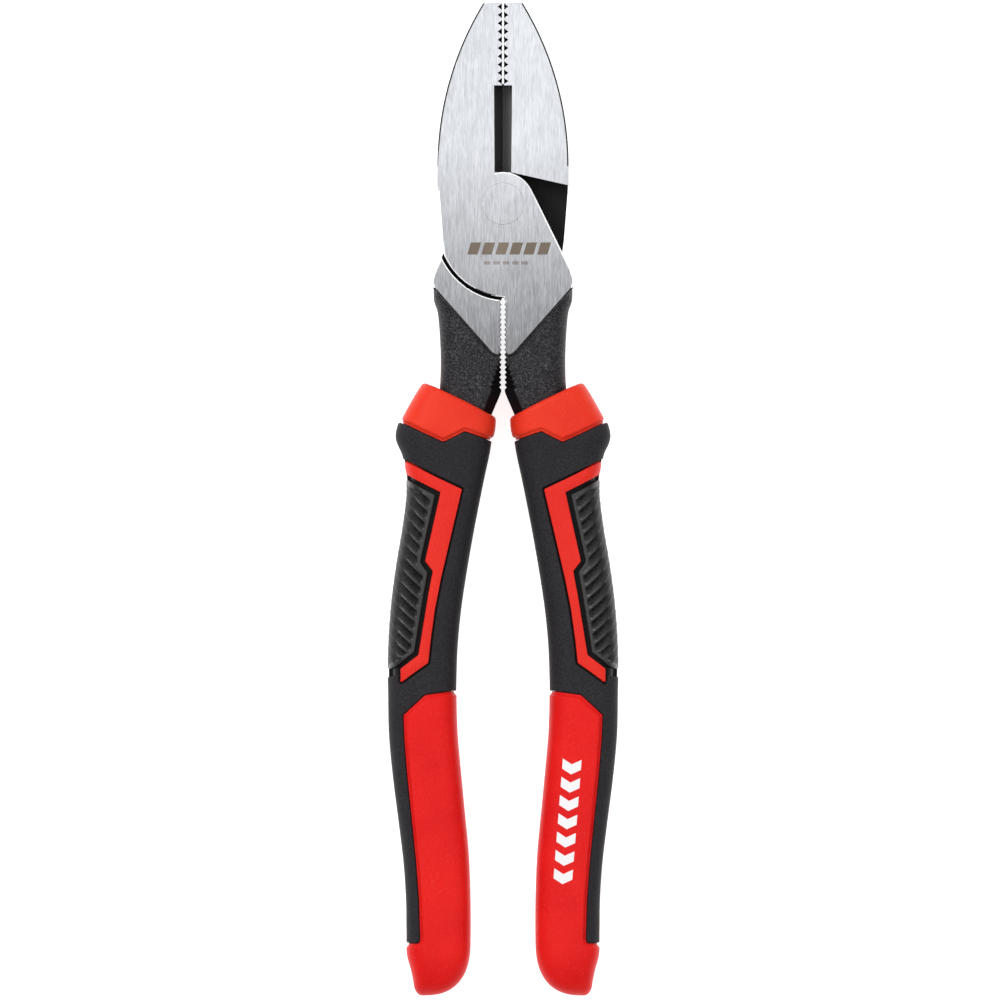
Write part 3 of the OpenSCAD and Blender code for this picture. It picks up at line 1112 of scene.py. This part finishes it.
@dataclass(frozen=True)
class Regions:
    """Outlines of the mouldings on the right grip in plan, and the seams between them.

    Attributes:
        seam: Gap between the shell and the red mouldings.
        groove: Width of the groove round the stripe and the pad.
        pad_groove: Width of the groove between the stripe and the pad.
        far: Distance across at which an outline lies well clear of the grip.
        MIDDLE: The stripe's side towards the middle, from its top down.
        PAD_SIDE: The stripe's side towards the pad, from its foot up.
    """

    seam: float = 0.07
    groove: float = 0.5
    pad_groove: float = 1.1
    far: float = 44.0

    MIDDLE: ClassVar = ((34, -57.3), (23.5, -62.0), (9.75, -68.5), (11.5, -75.8), (13.2, -83),
                        (14.9, -90.2), (16.3, -97.4), (17.3, -104.6), (17.9, -110.1),
                        (24.7, -114.9))
    PAD_SIDE: ClassVar = ((17.9, -93.6), (16.85, -88.1), (18.7, -85.7), (15.0, -69.2),
                          (22.9, -65.3), (34, -59.6))

    def collar_top(self) -> Array:
        """Outline of everything below the collar's slanted top.

        Returns:
            The outline's corners, or its points where it is rounded.
        """
        high, low = np.array((19.4, -42.35)), np.array((2.4, -50.5))
        along = (high - low) / (high - low)[0]
        return np.array((low + along * (-20 - low[0]), low + along * (self.far - low[0]),
                         (self.far, -220.0), (-20, -220.0)))

    def collar_low(self) -> Array:
        """Outline of everything above the collar's zigzag lower edge.

        Returns:
            The outline's corners, or its points where it is rounded.
        """
        zigzag = [(24.2, -52.6), (14.3, -57.3), (9.1, -54.6), (2.2, -57.0)]
        outline = [(self.far, -44.6), *zigzag, (-10, -61.2), (-10, -10), (self.far, -10)]
        return rounded(outline, 0.5)

    def stripe(self) -> Array:
        """Outline of the stripe."""
        arm = (24.7, -111.5), (20.3, -108.2)
        return rounded([*self.MIDDLE, *arm, *self.PAD_SIDE], 0.35)

    def panel(self) -> Array:
        """Outline of the stripe and the pad together."""
        return rounded([*self.MIDDLE, (25.0, -112.3), (27.0, -112.9), (34, -113.9)], 0.3)

    def pad(self) -> Array:
        """Outline of the space for the pad, from the stripe to beyond the outer side."""
        low = (20.3, -108.2), (25.0, -111.7), (27.0, -112.5), (34, -113.6)
        return rounded([*self.PAD_SIDE[::-1], *low], 0.6)

    def end_sleeve(self) -> Array:
        """Outline of the end sleeve, open to the inner side and the grip's end.

        Returns:
            The outline's corners, or its points where it is rounded.
        """
        top = [(-10, -116.3), (12.4, -116.9), (18.7, -117.7), (24.1, -122.6)]
        strip = [(23.9, -128), (23.2, -137), (22.1, -148), (21.1, -158), (20.4, -167), (20.1, -176.4)]
        outline = top + strip + [(20.4, -177.3), (self.far, -177.3), (self.far, -230), (-10, -230)]
        return rounded(outline, 0.45)


class Side(Enum):
    """The handle a grip sits on, as seen from the front."""

    RIGHT = "right"
    LEFT = "left"


@dataclass(frozen=True)
class Grip:
    """One grip: its inner sleeve and the five mouldings over it.

    Attributes:
        side: The handle it sits on.
        body: The CAD body it rides on.
        form: The grip's outer form.
        regions: The mouldings' outlines on it.
        step: Grid step of the outer surfaces.
        columns: Grid points round the grip.
    """

    side: Side
    body: str
    form: GripForm = GripForm()
    regions: Regions = Regions()
    step: float = 0.33
    columns: int = 176

    @staticmethod
    def outer_side(skin: Skin) -> Array:
        """Gives 1 along the middle of the outer side, and 0 elsewhere."""
        return 1 - ease(0.9, 1.8, skin.round_arc)[None, :]

    @staticmethod
    def border(inside: Array, drop: float, width: float) -> Array:
        """Gives the height of a surface whose border lies lower.

        Args:
            inside: How deep each grid point lies inside the edge.
            drop: How much lower the border lies.
            width: Depth at which the surface has its full height.

        Returns:
            The height at each grid point.
        """
        return -drop * (1 - ease(0.35 * width, width, inside))

    def collar(self) -> Solid:
        """Makes the collar, whose zigzag lower edge has a lower border.

        Its face also leans, lower away from the middle line.

        Returns:
            The closed solid.
        """
        skin = self.form.skin(40.0, 60.0, self.step, self.columns)
        top = depth_inside(self.regions.collar_top(), skin.x, skin.y)
        low = depth_inside(self.regions.collar_low(), skin.x, skin.y) - self.regions.seam
        across = skin.x - 0.5 * (skin.x.max(1) + skin.x.min(1))[:, None]
        height = -0.1 - 0.022 * across + self.border(low, 0.65, 1.0)
        return moulding(skin, (Rim(top, 1.1), Rim(low, 0.12)), height, 2.0)

    def shell(self) -> Solid:
        """Makes the black shell with the thumb stop and the strip down the outer side.

        Returns:
            The closed solid.
        """
        skin = self.form.skin(50.0, 181.0, self.step, self.columns)
        r = self.regions
        collar = -depth_inside(r.collar_low(), skin.x, skin.y) - r.seam
        panel = -depth_inside(r.panel(), skin.x, skin.y) - r.groove
        end = -depth_inside(r.end_sleeve(), skin.x, skin.y) - r.seam
        rims = (Rim(collar, 0.45), Rim(panel, 0.22), Rim(end, 0.2))
        return moulding(skin, rims, 0.0, 1.4)

    def stripe(self) -> Solid:
        """Makes the stripe, a little below the shell and crowned at its edges.

        Returns:
            The closed solid.
        """
        skin = self.form.skin(56.0, 118.0, self.step * 0.8, int(self.columns * 1.2))
        inside = depth_inside(self.regions.stripe(), skin.x, skin.y)
        height = -0.12 - 0.1 * (1 - ease(0.2, 1.2, inside))
        return moulding(skin, (Rim(inside, 0.2),), height, 1.0)

    def rib_pad(self) -> Solid:
        """Makes the ribbed pad.

        The ribs are a leaning saw-tooth of the way down the grip plus a share of the way round
        from the outer side, so that they slope across the front. Each rises slowly and falls off
        fast, and all fade out at the pad's plain border and along the middle of the outer side.

        Returns:
            The closed solid.
        """
        pitch, lean, soft = 2.88, 0.85, 1.5
        skin = self.form.skin(58.0, 117.0, self.step * 0.62, int(self.columns * 1.5))
        inside = depth_inside(self.regions.pad(), skin.x, skin.y) - self.regions.pad_groove
        way_round = np.sqrt(skin.round_arc**2 + soft**2) - soft
        phase = (-skin.y - lean * way_round[None, :]) / pitch
        share = phase - np.floor(phase)
        saw = ease(-0.15, 0.7, share) * (1 - ease(0.72, 0.97, share))
        side = self.outer_side(skin)
        plain = np.maximum(1 - ease(0.8, 1.5, inside), side)
        height = -0.05 - 0.2 * (1 - side) + (1 - plain) * (1.2 * saw - 0.92)
        return moulding(skin, (Rim(inside, 0.28),), height, 0.5)

    def end_sleeve(self) -> Solid:
        """Makes the end sleeve, raised inside a lower border.

        Returns:
            The closed solid.
        """
        skin = self.form.skin(113.0, 190.0, self.step, self.columns)
        inside = depth_inside(self.regions.end_sleeve(), skin.x, skin.y) - self.regions.seam
        height = self.border(inside, 0.6, 1.05) + 0.08
        return moulding(skin, (Rim(inside, 0.12),), height, 1.2)

    def inner_sleeve(self) -> Solid:
        """Makes the inner sleeve, which shows at the bottom of the grooves and in the collar.

        Along the outer side it stands higher from the stripe to the pad's end, so that the
        grooves there are shallow, and keeps low under the collar and the end sleeve.

        Returns:
            The closed solid.
        """
        skin = self.form.skin(40.0, 184.0, 0.8, 160)
        top = depth_inside(self.regions.collar_top(), skin.x, skin.y) - 1.6
        bottom = skin.y + 180.0
        panel = ease(57.0, 60.0, -skin.y) * (1 - ease(115.0, 117.0, -skin.y))
        height = -1.25 + 0.96 * self.outer_side(skin) * panel
        return moulding(skin, (Rim(top, 0.3), Rim(bottom, 0.3)), height, 2.2)

    def build(self) -> dict[str, bpy.types.Object]:
        """Makes all six pieces.

        Returns:
            The objects by the name of the part they stand for.
        """
        solids = {
            "inner_sleeve": self.inner_sleeve,
            "collar": self.collar,
            "grip_shell": self.shell,
            "stripe": self.stripe,
            "rib_pad": self.rib_pad,
            "end_sleeve": self.end_sleeve,
        }
        made = {}
        for part, make in solids.items():
            solid = make()
            piece = solid.object(f"{self.side.value}_{part}_moulded", self.side is Side.LEFT)
            shade(piece, 40)
            made[part] = piece
            log.info("%s: %d triangles", piece.name, len(solid.faces))
        return made


# ---------------------------------------------------------------- finishes


class Nodes:
    """Short-hand for building one material's node tree."""

    def __init__(self, name: str) -> None:
        """Starts a material with its surface shader.

        Args:
            name: The material's name.
        """
        self.material = bpy.data.materials.new(name)
        self.material.use_nodes = True
        self.tree = self.material.node_tree
        self.surface = self.tree.nodes["Principled BSDF"]
        self.place = self.tree.nodes.new("ShaderNodeTexCoord").outputs["Object"]

    def _plug(self, node: bpy.types.Node, socket: int | str, value: object) -> None:
        """Links an output to a socket, or sets the socket's own value.

        Args:
            node: The node.
            socket: Number or name of its input.
            value: Another node's output, or a plain value.
        """
        if isinstance(value, bpy.types.NodeSocket):
            self.tree.links.new(value, node.inputs[socket])
        else:
            node.inputs[socket].default_value = value

    def math(self, operation: str, *values: object, clamp: bool = False) -> bpy.types.NodeSocket:
        """Adds a math node.

        Args:
            operation: Blender's name of the operation.
            values: Its inputs.
            clamp: Whether the result is held between 0 and 1.

        Returns:
            The node's output.
        """
        node = self.tree.nodes.new("ShaderNodeMath")
        node.operation, node.use_clamp = operation, clamp
        for i, value in enumerate(values):
            self._plug(node, i, value)
        return node.outputs[0]

    def stretched(self, scale: Sequence[float]) -> bpy.types.NodeSocket:
        """Scales the object coordinates along each axis.

        Args:
            scale: The three scales.

        Returns:
            The node's output.
        """
        node = self.tree.nodes.new("ShaderNodeMapping")
        self._plug(node, "Vector", self.place)
        node.inputs["Scale"].default_value = scale
        return node.outputs[0]

    def noise(self, place: bpy.types.NodeSocket, scale: float, detail: float = 2.0,
              rough: float = 0.5) -> bpy.types.NodeSocket:
        """Adds a noise texture.

        Args:
            place: Coordinates to read it at.
            scale: Lumps to a unit of length.
            detail: How many finer layers it has.
            rough: How strong those are.

        Returns:
            The node's output.
        """
        node = self.tree.nodes.new("ShaderNodeTexNoise")
        self._plug(node, "Vector", place)
        node.inputs["Scale"].default_value = scale
        node.inputs["Detail"].default_value = detail
        node.inputs["Roughness"].default_value = rough
        return node.outputs[0]

    def spread(self, value: object, low: float, high: float, to_low: float,
               to_high: float) -> bpy.types.NodeSocket:
        """Maps a value's range to another, held at its ends.

        Args:
            value: The value.
            low: Start of its range.
            high: End of its range.
            to_low: Result at the start.
            to_high: Result at the end.

        Returns:
            The node's output.
        """
        node = self.tree.nodes.new("ShaderNodeMapRange")
        for i, v in enumerate((value, low, high, to_low, to_high)):
            self._plug(node, i, v)
        return node.outputs[0]

    def mix(self, share: object, first: object, second: object) -> bpy.types.NodeSocket:
        """Mixes two colours.

        Args:
            share: Share of the second.
            first: The first colour.
            second: The second colour.

        Returns:
            The node's output.
        """
        node = self.tree.nodes.new("ShaderNodeMix")
        node.data_type = "RGBA"
        self._plug(node, 0, share)
        self._plug(node, 6, first)
        self._plug(node, 7, second)
        return node.outputs[2]

    def bump(self, height: bpy.types.NodeSocket, depth: float, strength: float) -> None:
        """Roughens the surface by a height map.

        Args:
            height: The map.
            depth: Its depth in metres.
            strength: How much of it is used.
        """
        node = self.tree.nodes.new("ShaderNodeBump")
        node.inputs["Strength"].default_value = strength
        node.inputs["Distance"].default_value = depth
        self._plug(node, "Height", height)
        self.tree.links.new(node.outputs[0], self.surface.inputs["Normal"])

    def set(self, **values: object) -> None:
        """Sets or links the surface shader's sockets.

        Args:
            values: Values or outputs by the socket's name, with underscores for spaces.
        """
        for name, value in values.items():
            self._plug(self.surface, name.replace("_", " "), value)

    def axis(self, which: str) -> bpy.types.NodeSocket:
        """Gives one of the object coordinates.

        Args:
            which: "X", "Y" or "Z".

        Returns:
            The node's output.
        """
        node = self.tree.nodes.new("ShaderNodeSeparateXYZ")
        self._plug(node, 0, self.place)
        return node.outputs[which]

    def between(self, value: bpy.types.NodeSocket, low: float, high: float) -> bpy.types.NodeSocket:
        """Gives 1 where a value lies between two limits, and 0 elsewhere.

        Args:
            value: The value.
            low: The lower limit.
            high: The upper limit.

        Returns:
            The node's output.
        """
        above, below = self.math("GREATER_THAN", value, low), self.math("LESS_THAN", value, high)
        return self.math("MULTIPLY", above, below)


@dataclass(frozen=True)
class MarkRow:
    """A row of equal blocks on the head's front face, placed in millimetres from the pivot.

    Attributes:
        left: The first block's lower left corner.
        low: The blocks' lower side.
        high: Their upper side.
        pitch: Pitch of the blocks.
        share: Share of the pitch that a block takes up.
        count: Number of blocks.
        slant: How far they lean, as x over y.
    """

    left: float
    low: float
    high: float
    pitch: float
    share: float
    count: int
    slant: float = 0.0

    def mask(self, n: Nodes) -> bpy.types.NodeSocket:
        """Draws the row: 1 where the way along it lies in the first share of each pitch.

        Args:
            n: The material being built.

        Returns:
            1 on the blocks and 0 elsewhere.
        """
        left = PLACE.pivot[0] + self.left
        low, high = PLACE.pivot[1] + self.low, PLACE.pivot[1] + self.high
        x, y = n.axis("X"), n.axis("Y")
        lean = n.math("MULTIPLY", n.math("SUBTRACT", y, low * MM), self.slant)
        along = n.math("SUBTRACT", n.math("SUBTRACT", x, left * MM), lean)
        turns = n.math("DIVIDE", along, self.pitch * MM)
        blocks = n.math("LESS_THAN", n.math("FRACT", turns), self.share)
        blocks = n.math("MULTIPLY", blocks, n.between(y, low * MM, high * MM))
        return n.math("MULTIPLY", blocks, n.between(turns, 0.0, float(self.count)))


@dataclass(frozen=True)
class EtchedMark:
    """The plain mark etched on the front face: six slanted bars over five dashes.

    Attributes:
        bars: The upper row.
        dashes: The lower row.
        faint: Strength of the dashes beside the bars.
    """

    bars: MarkRow = MarkRow(-8.57, -12.2, -9.3, 3.35, 0.74, 6, 0.3)
    dashes: MarkRow = MarkRow(-4.6, -14.6, -13.8, 2.25, 0.7, 5)
    faint: float = 0.6

    def mask(self, n: Nodes) -> bpy.types.NodeSocket:
        """Draws both rows, on the front face only.

        Args:
            n: The material being built.

        Returns:
            The mark's strength.
        """
        dashes = n.math("MULTIPLY", self.dashes.mask(n), self.faint)
        marks = n.math("ADD", self.bars.mask(n), dashes, clamp=True)
        return n.math("MULTIPLY", n.math("GREATER_THAN", n.axis("Z"), PLACE.pivot[2] * MM), marks)


@dataclass(frozen=True)
class PrintedArrows:
    """A row of plain arrowheads printed down the right grip's front.

    Attributes:
        start: Where the row starts, in millimetres from the pivot.
        end: Where it ends.
        count: Number of arrowheads.
        share: Share of the pitch that an arrowhead takes up.
        half_w: Their half width.
        lean: How far their sides run back, along the row over across it.
    """

    start: tuple[float, float] = (16.5, -134.4)
    end: tuple[float, float] = (14.1, -165.1)
    count: int = 7
    share: float = 0.55
    half_w: float = 2.25
    lean: float = 0.55

    def mask(self, n: Nodes) -> bpy.types.NodeSocket:
        """Draws the row in a frame turned to its slope: along it, and across it from its middle.

        Args:
            n: The material being built.

        Returns:
            1 on the arrowheads and 0 elsewhere.
        """
        px, py, pz = PLACE.pivot
        run, rise = self.end[0] - self.start[0], self.end[1] - self.start[1]
        length = sqrt(run**2 + rise**2)
        ux, uy = run / length, rise / length
        dx = n.math("SUBTRACT", n.axis("X"), (px + self.start[0]) * MM)
        dy = n.math("SUBTRACT", n.axis("Y"), (py + self.start[1]) * MM)
        along = n.math("ADD", n.math("MULTIPLY", dx, ux), n.math("MULTIPLY", dy, uy))
        across = n.math("SUBTRACT", n.math("MULTIPLY", dx, uy), n.math("MULTIPLY", dy, ux))
        across = n.math("ABSOLUTE", across)
        slanted = n.math("ADD", along, n.math("MULTIPLY", across, self.lean))
        turns = n.math("FRACT", n.math("DIVIDE", slanted, length / self.count * MM))
        narrow = n.math("LESS_THAN", across, self.half_w * MM)
        heads = n.math("MULTIPLY", n.math("LESS_THAN", turns, self.share), narrow)
        heads = n.math("MULTIPLY", heads, n.between(slanted, 0.0, length * MM))
        return n.math("MULTIPLY", heads, n.math("GREATER_THAN", n.axis("Z"), pz * MM))


@dataclass(frozen=True)
class GroundSteel:
    """Steel ground along the tool, with fine scratches, and painted shade that darkens it towards the
    handles.

    Attributes:
        name: The material's name.
        bright: Colour of the streaks that catch the light, towards the jaws.
        dark: Colour between them.
        shaded_bright: The streaks' colour at the handles' end, darkened as painted shade.
        shaded_dark: The colour between them there, darkened as painted shade.
        fade: Heights from the pivot between which the painted shade grows towards the handles, in
            millimetres.
        etch: Colour of the etched mark.
        mark: The mark etched on the front face, if there is one.
    """

    name: str = "ground_steel"
    bright: tuple = (0.555, 0.57, 0.60, 1)
    dark: tuple = (0.40, 0.41, 0.433, 1)
    shaded_bright: tuple = (0.242, 0.244, 0.253, 1)
    shaded_dark: tuple = (0.125, 0.126, 0.132, 1)
    fade: tuple[float, float] = (-34.0, 14.0)
    etch: tuple = (0.20, 0.165, 0.13, 1)
    mark: EtchedMark | None = None

    def material(self) -> bpy.types.Material:
        """Builds the material.

        Returns:
            The material.
        """
        n = Nodes(self.name)
        fine = n.noise(n.stretched((5600, 470, 470)), 1.0, 2.0, 0.6)
        broad = n.noise(n.stretched((2500, 190, 190)), 1.0, 3.0, 0.65)
        cloud = n.noise(n.stretched((60, 40, 40)), 1.0, 2.0)
        streak = n.math("ADD", n.math("MULTIPLY", fine, 0.5), n.math("MULTIPLY", broad, 0.5))
        shine = n.spread(streak, 0.36, 0.64, 0, 1)
        colour = n.mix(shine, self.dark, self.bright)
        low, high = ((PLACE.pivot[1] + height) * MM for height in self.fade)
        # painted shade: the steel's colours grow darker from the jaws down towards the handles
        painted_shade = n.spread(n.axis("Y"), low, high, 1, 0)
        colour = n.mix(painted_shade, colour, n.mix(shine, self.shaded_dark, self.shaded_bright))
        uneven = n.spread(cloud, 0.3, 0.7, -0.03, 0.03)
        rough = n.math("ADD", n.spread(streak, 0.3, 0.7, 0.36, 0.27), uneven)
        if self.mark:
            mask = self.mark.mask(n)
            colour = n.mix(mask, colour, self.etch)
            rough = n.math("ADD", rough, n.math("MULTIPLY", mask, 0.3))
        n.set(Base_Color=colour, Metallic=1.0, Roughness=rough, Anisotropic=0.45)
        n.bump(streak, 0.00002, 0.5)
        return n.material


@dataclass(frozen=True)
class BlackForging:
    """Steel blackened as forged: dark and grainy, with light specks where grains catch the light.

    Attributes:
        name: The material's name.
        base: Colour of the skin.
        speck: Colour of the specks.
    """

    name: str = "black_forging"
    base: tuple = (0.0105, 0.010, 0.0115, 1)
    speck: tuple = (0.078, 0.076, 0.084, 1)

    def material(self) -> bpy.types.Material:
        """Builds the material.

        Returns:
            The material.
        """
        n = Nodes(self.name)
        grain = n.noise(n.place, 2900, 2.0, 0.6)
        lumps = n.noise(n.place, 420, 2.0, 0.5)
        specks = n.spread(grain, 0.45, 0.66, 0, 1)
        share = n.math("MULTIPLY", specks, n.spread(lumps, 0.35, 0.65, 0.6, 1))
        colour = n.mix(share, self.base, self.speck)
        n.set(Base_Color=colour, Metallic=0.35, Roughness=n.spread(grain, 0.3, 0.7, 0.62, 0.46),
              Specular_IOR_Level=0.22)
        n.bump(n.math("ADD", grain, n.math("MULTIPLY", lumps, 0.6)), 0.00011, 0.8)
        return n.material


@dataclass(frozen=True)
class PlainSteel:
    """Smooth machined steel with no marks, as on the knives, the lap and the rims; some of its copies
    carry painted light and painted shade in their colour.

    Attributes:
        name: The material's name.
        base: Its colour.
        metal: How metallic it is.
        roughness: Its roughness.
    """

    name: str
    base: tuple
    metal: float
    roughness: float

    def material(self) -> bpy.types.Material:
        """Builds the material.

        Returns:
            The material.
        """
        n = Nodes(self.name)
        fine = n.noise(n.stretched((1600, 300, 1600)), 1.0, 2.0)
        n.set(Base_Color=self.base, Metallic=self.metal, Specular_IOR_Level=0.15,
              Roughness=n.spread(fine, 0.3, 0.7, self.roughness - 0.05, self.roughness + 0.05))
        n.bump(fine, 0.00002, 0.4)
        return n.material


@dataclass(frozen=True)
class SatinPlastic:
    """Smooth hard plastic with a faint orange-peel.

    Attributes:
        name: The material's name.
        base: Its colour.
        deep: Its colour where it looks deeper.
        dust: Colour of the fine dust on it.
        ink: Colour of the print.
        printed: The row of arrowheads printed on it, if there is one.
    """

    name: str = "red_plastic"
    base: tuple = (0.77, 0.0115, 0.0095, 1)
    deep: tuple = (0.70, 0.0075, 0.008, 1)
    dust: tuple = (0.9, 0.3, 0.25, 1)
    ink: tuple = (0.87, 0.85, 0.86, 1)
    printed: PrintedArrows | None = None

    def material(self) -> bpy.types.Material:
        """Builds the material.

        Returns:
            The material.
        """
        n = Nodes(self.name)
        cloud = n.noise(n.place, 90, 2.0)
        peel = n.noise(n.place, 1700, 2.0, 0.5)
        dust = n.spread(n.noise(n.place, 2900, 1.0), 0.55, 0.8, 0, 0.08)
        colour = n.mix(n.spread(cloud, 0.3, 0.7, 0, 1), self.deep, self.base)
        colour = n.mix(dust, colour, self.dust)
        if self.printed:
            colour = n.mix(self.printed.mask(n), colour, self.ink)
        n.set(Base_Color=colour, Roughness=n.spread(peel, 0.3, 0.7, 0.40, 0.50), Specular_IOR_Level=0.1)
        n.bump(peel, 0.00004, 0.7)
        return n.material


@dataclass(frozen=True)
class GrainedRubber:
    """Dark soft plastic with a fine grain that catches a little light.

    Attributes:
        name: The material's name.
        base: Its colour.
        worn: Colour of the grain.
        roughness: Its roughness.
        specular: How strongly it reflects.
    """

    name: str = "black_rubber"
    base: tuple = (0.0215, 0.0203, 0.0228, 1)
    worn: tuple = (0.0375, 0.0362, 0.0395, 1)
    roughness: float = 0.52
    specular: float = 0.03

    def material(self) -> bpy.types.Material:
        """Builds the material.

        Returns:
            The material.
        """
        n = Nodes(self.name)
        grain = n.noise(n.place, 2600, 2.0, 0.6)
        cloud = n.noise(n.place, 120, 3.0, 0.6)
        patchy = n.spread(cloud, 0.35, 0.7, 0.6, 1)
        share = n.math("MULTIPLY", n.spread(grain, 0.4, 0.62, 0, 1), patchy)
        colour = n.mix(share, self.base, self.worn)
        rough = n.spread(grain, 0.3, 0.7, self.roughness - 0.07, self.roughness + 0.08)
        n.set(Base_Color=colour, Roughness=rough, Specular_IOR_Level=self.specular)
        n.bump(grain, 0.00004, 0.7)
        return n.material


# ---------------------------------------------------------------- studio


@dataclass(frozen=True)
class Studio:
    """The floor, the lights and the camera.

    Attributes:
        view: Width of the view at the tool's middle plane.
        lens: Focal length.
        sensor: Width of the camera's sensor.
        aim: Point of the middle plane at the view's centre, from the pivot.
        floor_half: Half width of the floor in metres.
    """

    view: float = 240.0
    lens: float = 1000.0
    sensor: float = 36.0
    aim: tuple[float, float] = (-0.72, -71.04)
    floor_half: float = 3.0

    def build(self) -> None:
        """Makes everything."""
        bpy.context.scene.view_settings.view_transform = "Standard"
        self.camera()
        self.floor()
        self.world()
        top = Vector((0, 0, 0.01))
        self.light("ceiling", Vector((-0.1, 0.3, 1.3)), top, (1.9, 1.9), 15.5)
        self.light("key", Vector((-0.7, 0.6, 1.0)), top, (0.35, 0.35), 5.5)
        self.light("fill", Vector((0.9, 0.0, 0.9)), top, (0.6, 0.9), 2.0)

    def camera(self) -> None:
        """Makes the camera, which looks straight down on the front face."""
        data = bpy.data.cameras.new("camera")
        data.lens, data.sensor_width = self.lens, self.sensor
        data.clip_start, data.clip_end = 0.01, 20.0
        made = bpy.data.objects.new("camera", data)
        x, y, z = PLACE.pivot
        distance = self.view * self.lens / self.sensor
        made.location = ((x + self.aim[0]) * MM, (y + self.aim[1]) * MM, (z + distance) * MM)
        bpy.context.scene.collection.objects.link(made)
        bpy.context.scene.camera = made

    def floor(self) -> None:
        """Makes the pale floor that the tool lies on."""
        corners = np.array(((-1, -1, 0), (1, -1, 0), (1, 1, 0), (-1, 1, 0))) * self.floor_half
        mesh = bpy.data.meshes.new("floor")
        mesh.from_pydata(corners, [], [(0, 1, 2, 3)])
        made = bpy.data.objects.new("floor", mesh)
        n = Nodes("pale_floor")
        n.set(Base_Color=(0.8, 0.8, 0.8, 1), Roughness=0.9, Specular_IOR_Level=0.0,
              Emission_Color=(1, 1, 1, 1), Emission_Strength=0.8)
        mesh.materials.append(n.material)
        bpy.context.scene.collection.objects.link(made)

    def world(self) -> None:
        """Fills the surroundings with even, pale light."""
        made = bpy.data.worlds.new("studio")
        made.use_nodes = True
        back = made.node_tree.nodes["Background"]
        back.inputs["Color"].default_value = (1, 1, 1, 1)
        back.inputs["Strength"].default_value = 0.3
        bpy.context.scene.world = made

    def light(self, name: str, place: Vector, aim: Vector, size: tuple[float, float],
              power: float) -> None:
        """Makes one soft rectangular light that faces a point.

        Args:
            name: Its name.
            place: Where it stands, in metres.
            aim: The point it faces.
            size: Its width and height.
            power: Its power in watts.
        """
        data = bpy.data.lights.new(name, "AREA")
        data.shape, data.size, data.size_y, data.energy = "RECTANGLE", size[0], size[1], power
        made = bpy.data.objects.new(name, data)
        made.location = place
        made.rotation_euler = (aim - place).to_track_quat("-Z", "Y").to_euler()
        bpy.context.scene.collection.objects.link(made)


# ---------------------------------------------------------------- assembly


def dress(piece: bpy.types.Object, materials: Sequence[bpy.types.Material], body: str, node: str) -> None:
    """Gives a piece its materials and its place in the part.

    Args:
        piece: The piece.
        materials: Its materials, in the order of its faces' marks.
        body: The CAD body it rides on.
        node: The CAD node it stands for.
    """
    for material in materials:
        piece.data.materials.append(material)
    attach(piece, body)
    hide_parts(node)


def main() -> None:
    """Builds the whole tool and its studio."""
    logging.basicConfig(level=logging.INFO, format="%(name)s: %(message)s")
    ground = GroundSteel().material()
    marked = GroundSteel("ground_steel_marked", mark=EtchedMark()).material()
    forged = BlackForging().material()
    # one knife finish in a lit and a shaded copy: the rear half's knife is painted lighter than the front
    # half's, as painted light from the left
    knife = PlainSteel("blackened_knife", (0.075, 0.072, 0.076, 1), 0.3, 0.4).material()
    knife_lit = PlainSteel("knife_painted_lit", (0.27, 0.268, 0.275, 1), 0.3, 0.4).material()
    # blackened steel made darker still as painted shade, for the recess floor and the shank's facet
    lap = PlainSteel("blackened_and_shaded_lap", (0.005, 0.0047, 0.0056, 1), 0.0, 0.6).material()
    # near-white steel on the rims of the boss, the plate and the round gap, as a painted highlight
    rim = PlainSteel("rim_painted_highlight", (0.97, 0.97, 0.98, 1), 1.0, 0.42).material()

    red = SatinPlastic().material()
    red_printed = SatinPlastic("red_plastic_printed", printed=PrintedArrows()).material()
    red_collar = SatinPlastic("red_plastic_collar", base=(0.79, 0.043, 0.017, 1),
                              deep=(0.73, 0.030, 0.014, 1)).material()
    red_stripe = SatinPlastic("red_plastic_stripe", base=(0.77, 0.027, 0.016, 1),
                              deep=(0.71, 0.021, 0.014, 1)).material()
    rubber = GrainedRubber().material()
    ribbed = GrainedRubber("black_rubber_pad", (0.007, 0.0066, 0.0075, 1),
                           (0.026, 0.0252, 0.0270, 1), 0.36, 0.42).material()
    core = GrainedRubber("black_core", (0.003, 0.003, 0.003, 1), (0.005, 0.005, 0.005, 1),
                         specular=0.1).material()

    # a forged half's materials follow the order of Face
    forging = Forging()
    front = forging.build("front_half_forged", turned=False)
    dress(front, (marked, forged, knife, lap, rim), "front_lever", "front_half")
    rear = forging.build("rear_half_forged", turned=True)
    dress(rear, (ground, forged, knife_lit, lap, rim), "rear_lever", "rear_half")
    rivet = forging.rivet.build(forging.half_t)
    dress(rivet, (ground,), "front_lever", "pivot_rivet")
    for piece in (front, rear, rivet):
        log.info("%s: %d faces", piece.name, len(piece.data.polygons))

    finishes = {
        "inner_sleeve": (core, "core_plastic"),
        "collar": (red_collar, "red_plastic"),
        "grip_shell": (rubber, "black_rubber"),
        "stripe": (red_stripe, "red_plastic"),
        "rib_pad": (ribbed, "black_rubber"),
        "end_sleeve": (red, "red_plastic"),
    }
    for grip in (Grip(Side.RIGHT, "front_lever"), Grip(Side.LEFT, "rear_lever")):
        for part, piece in grip.build().items():
            material, slot = finishes[part]
            if grip.side is Side.RIGHT and part == "end_sleeve":
                material = red_printed
            dress(piece, (material,), grip.body, f"{grip.side.value}_{part}")

    Studio().build()


if __name__ == "__main__":
    main()
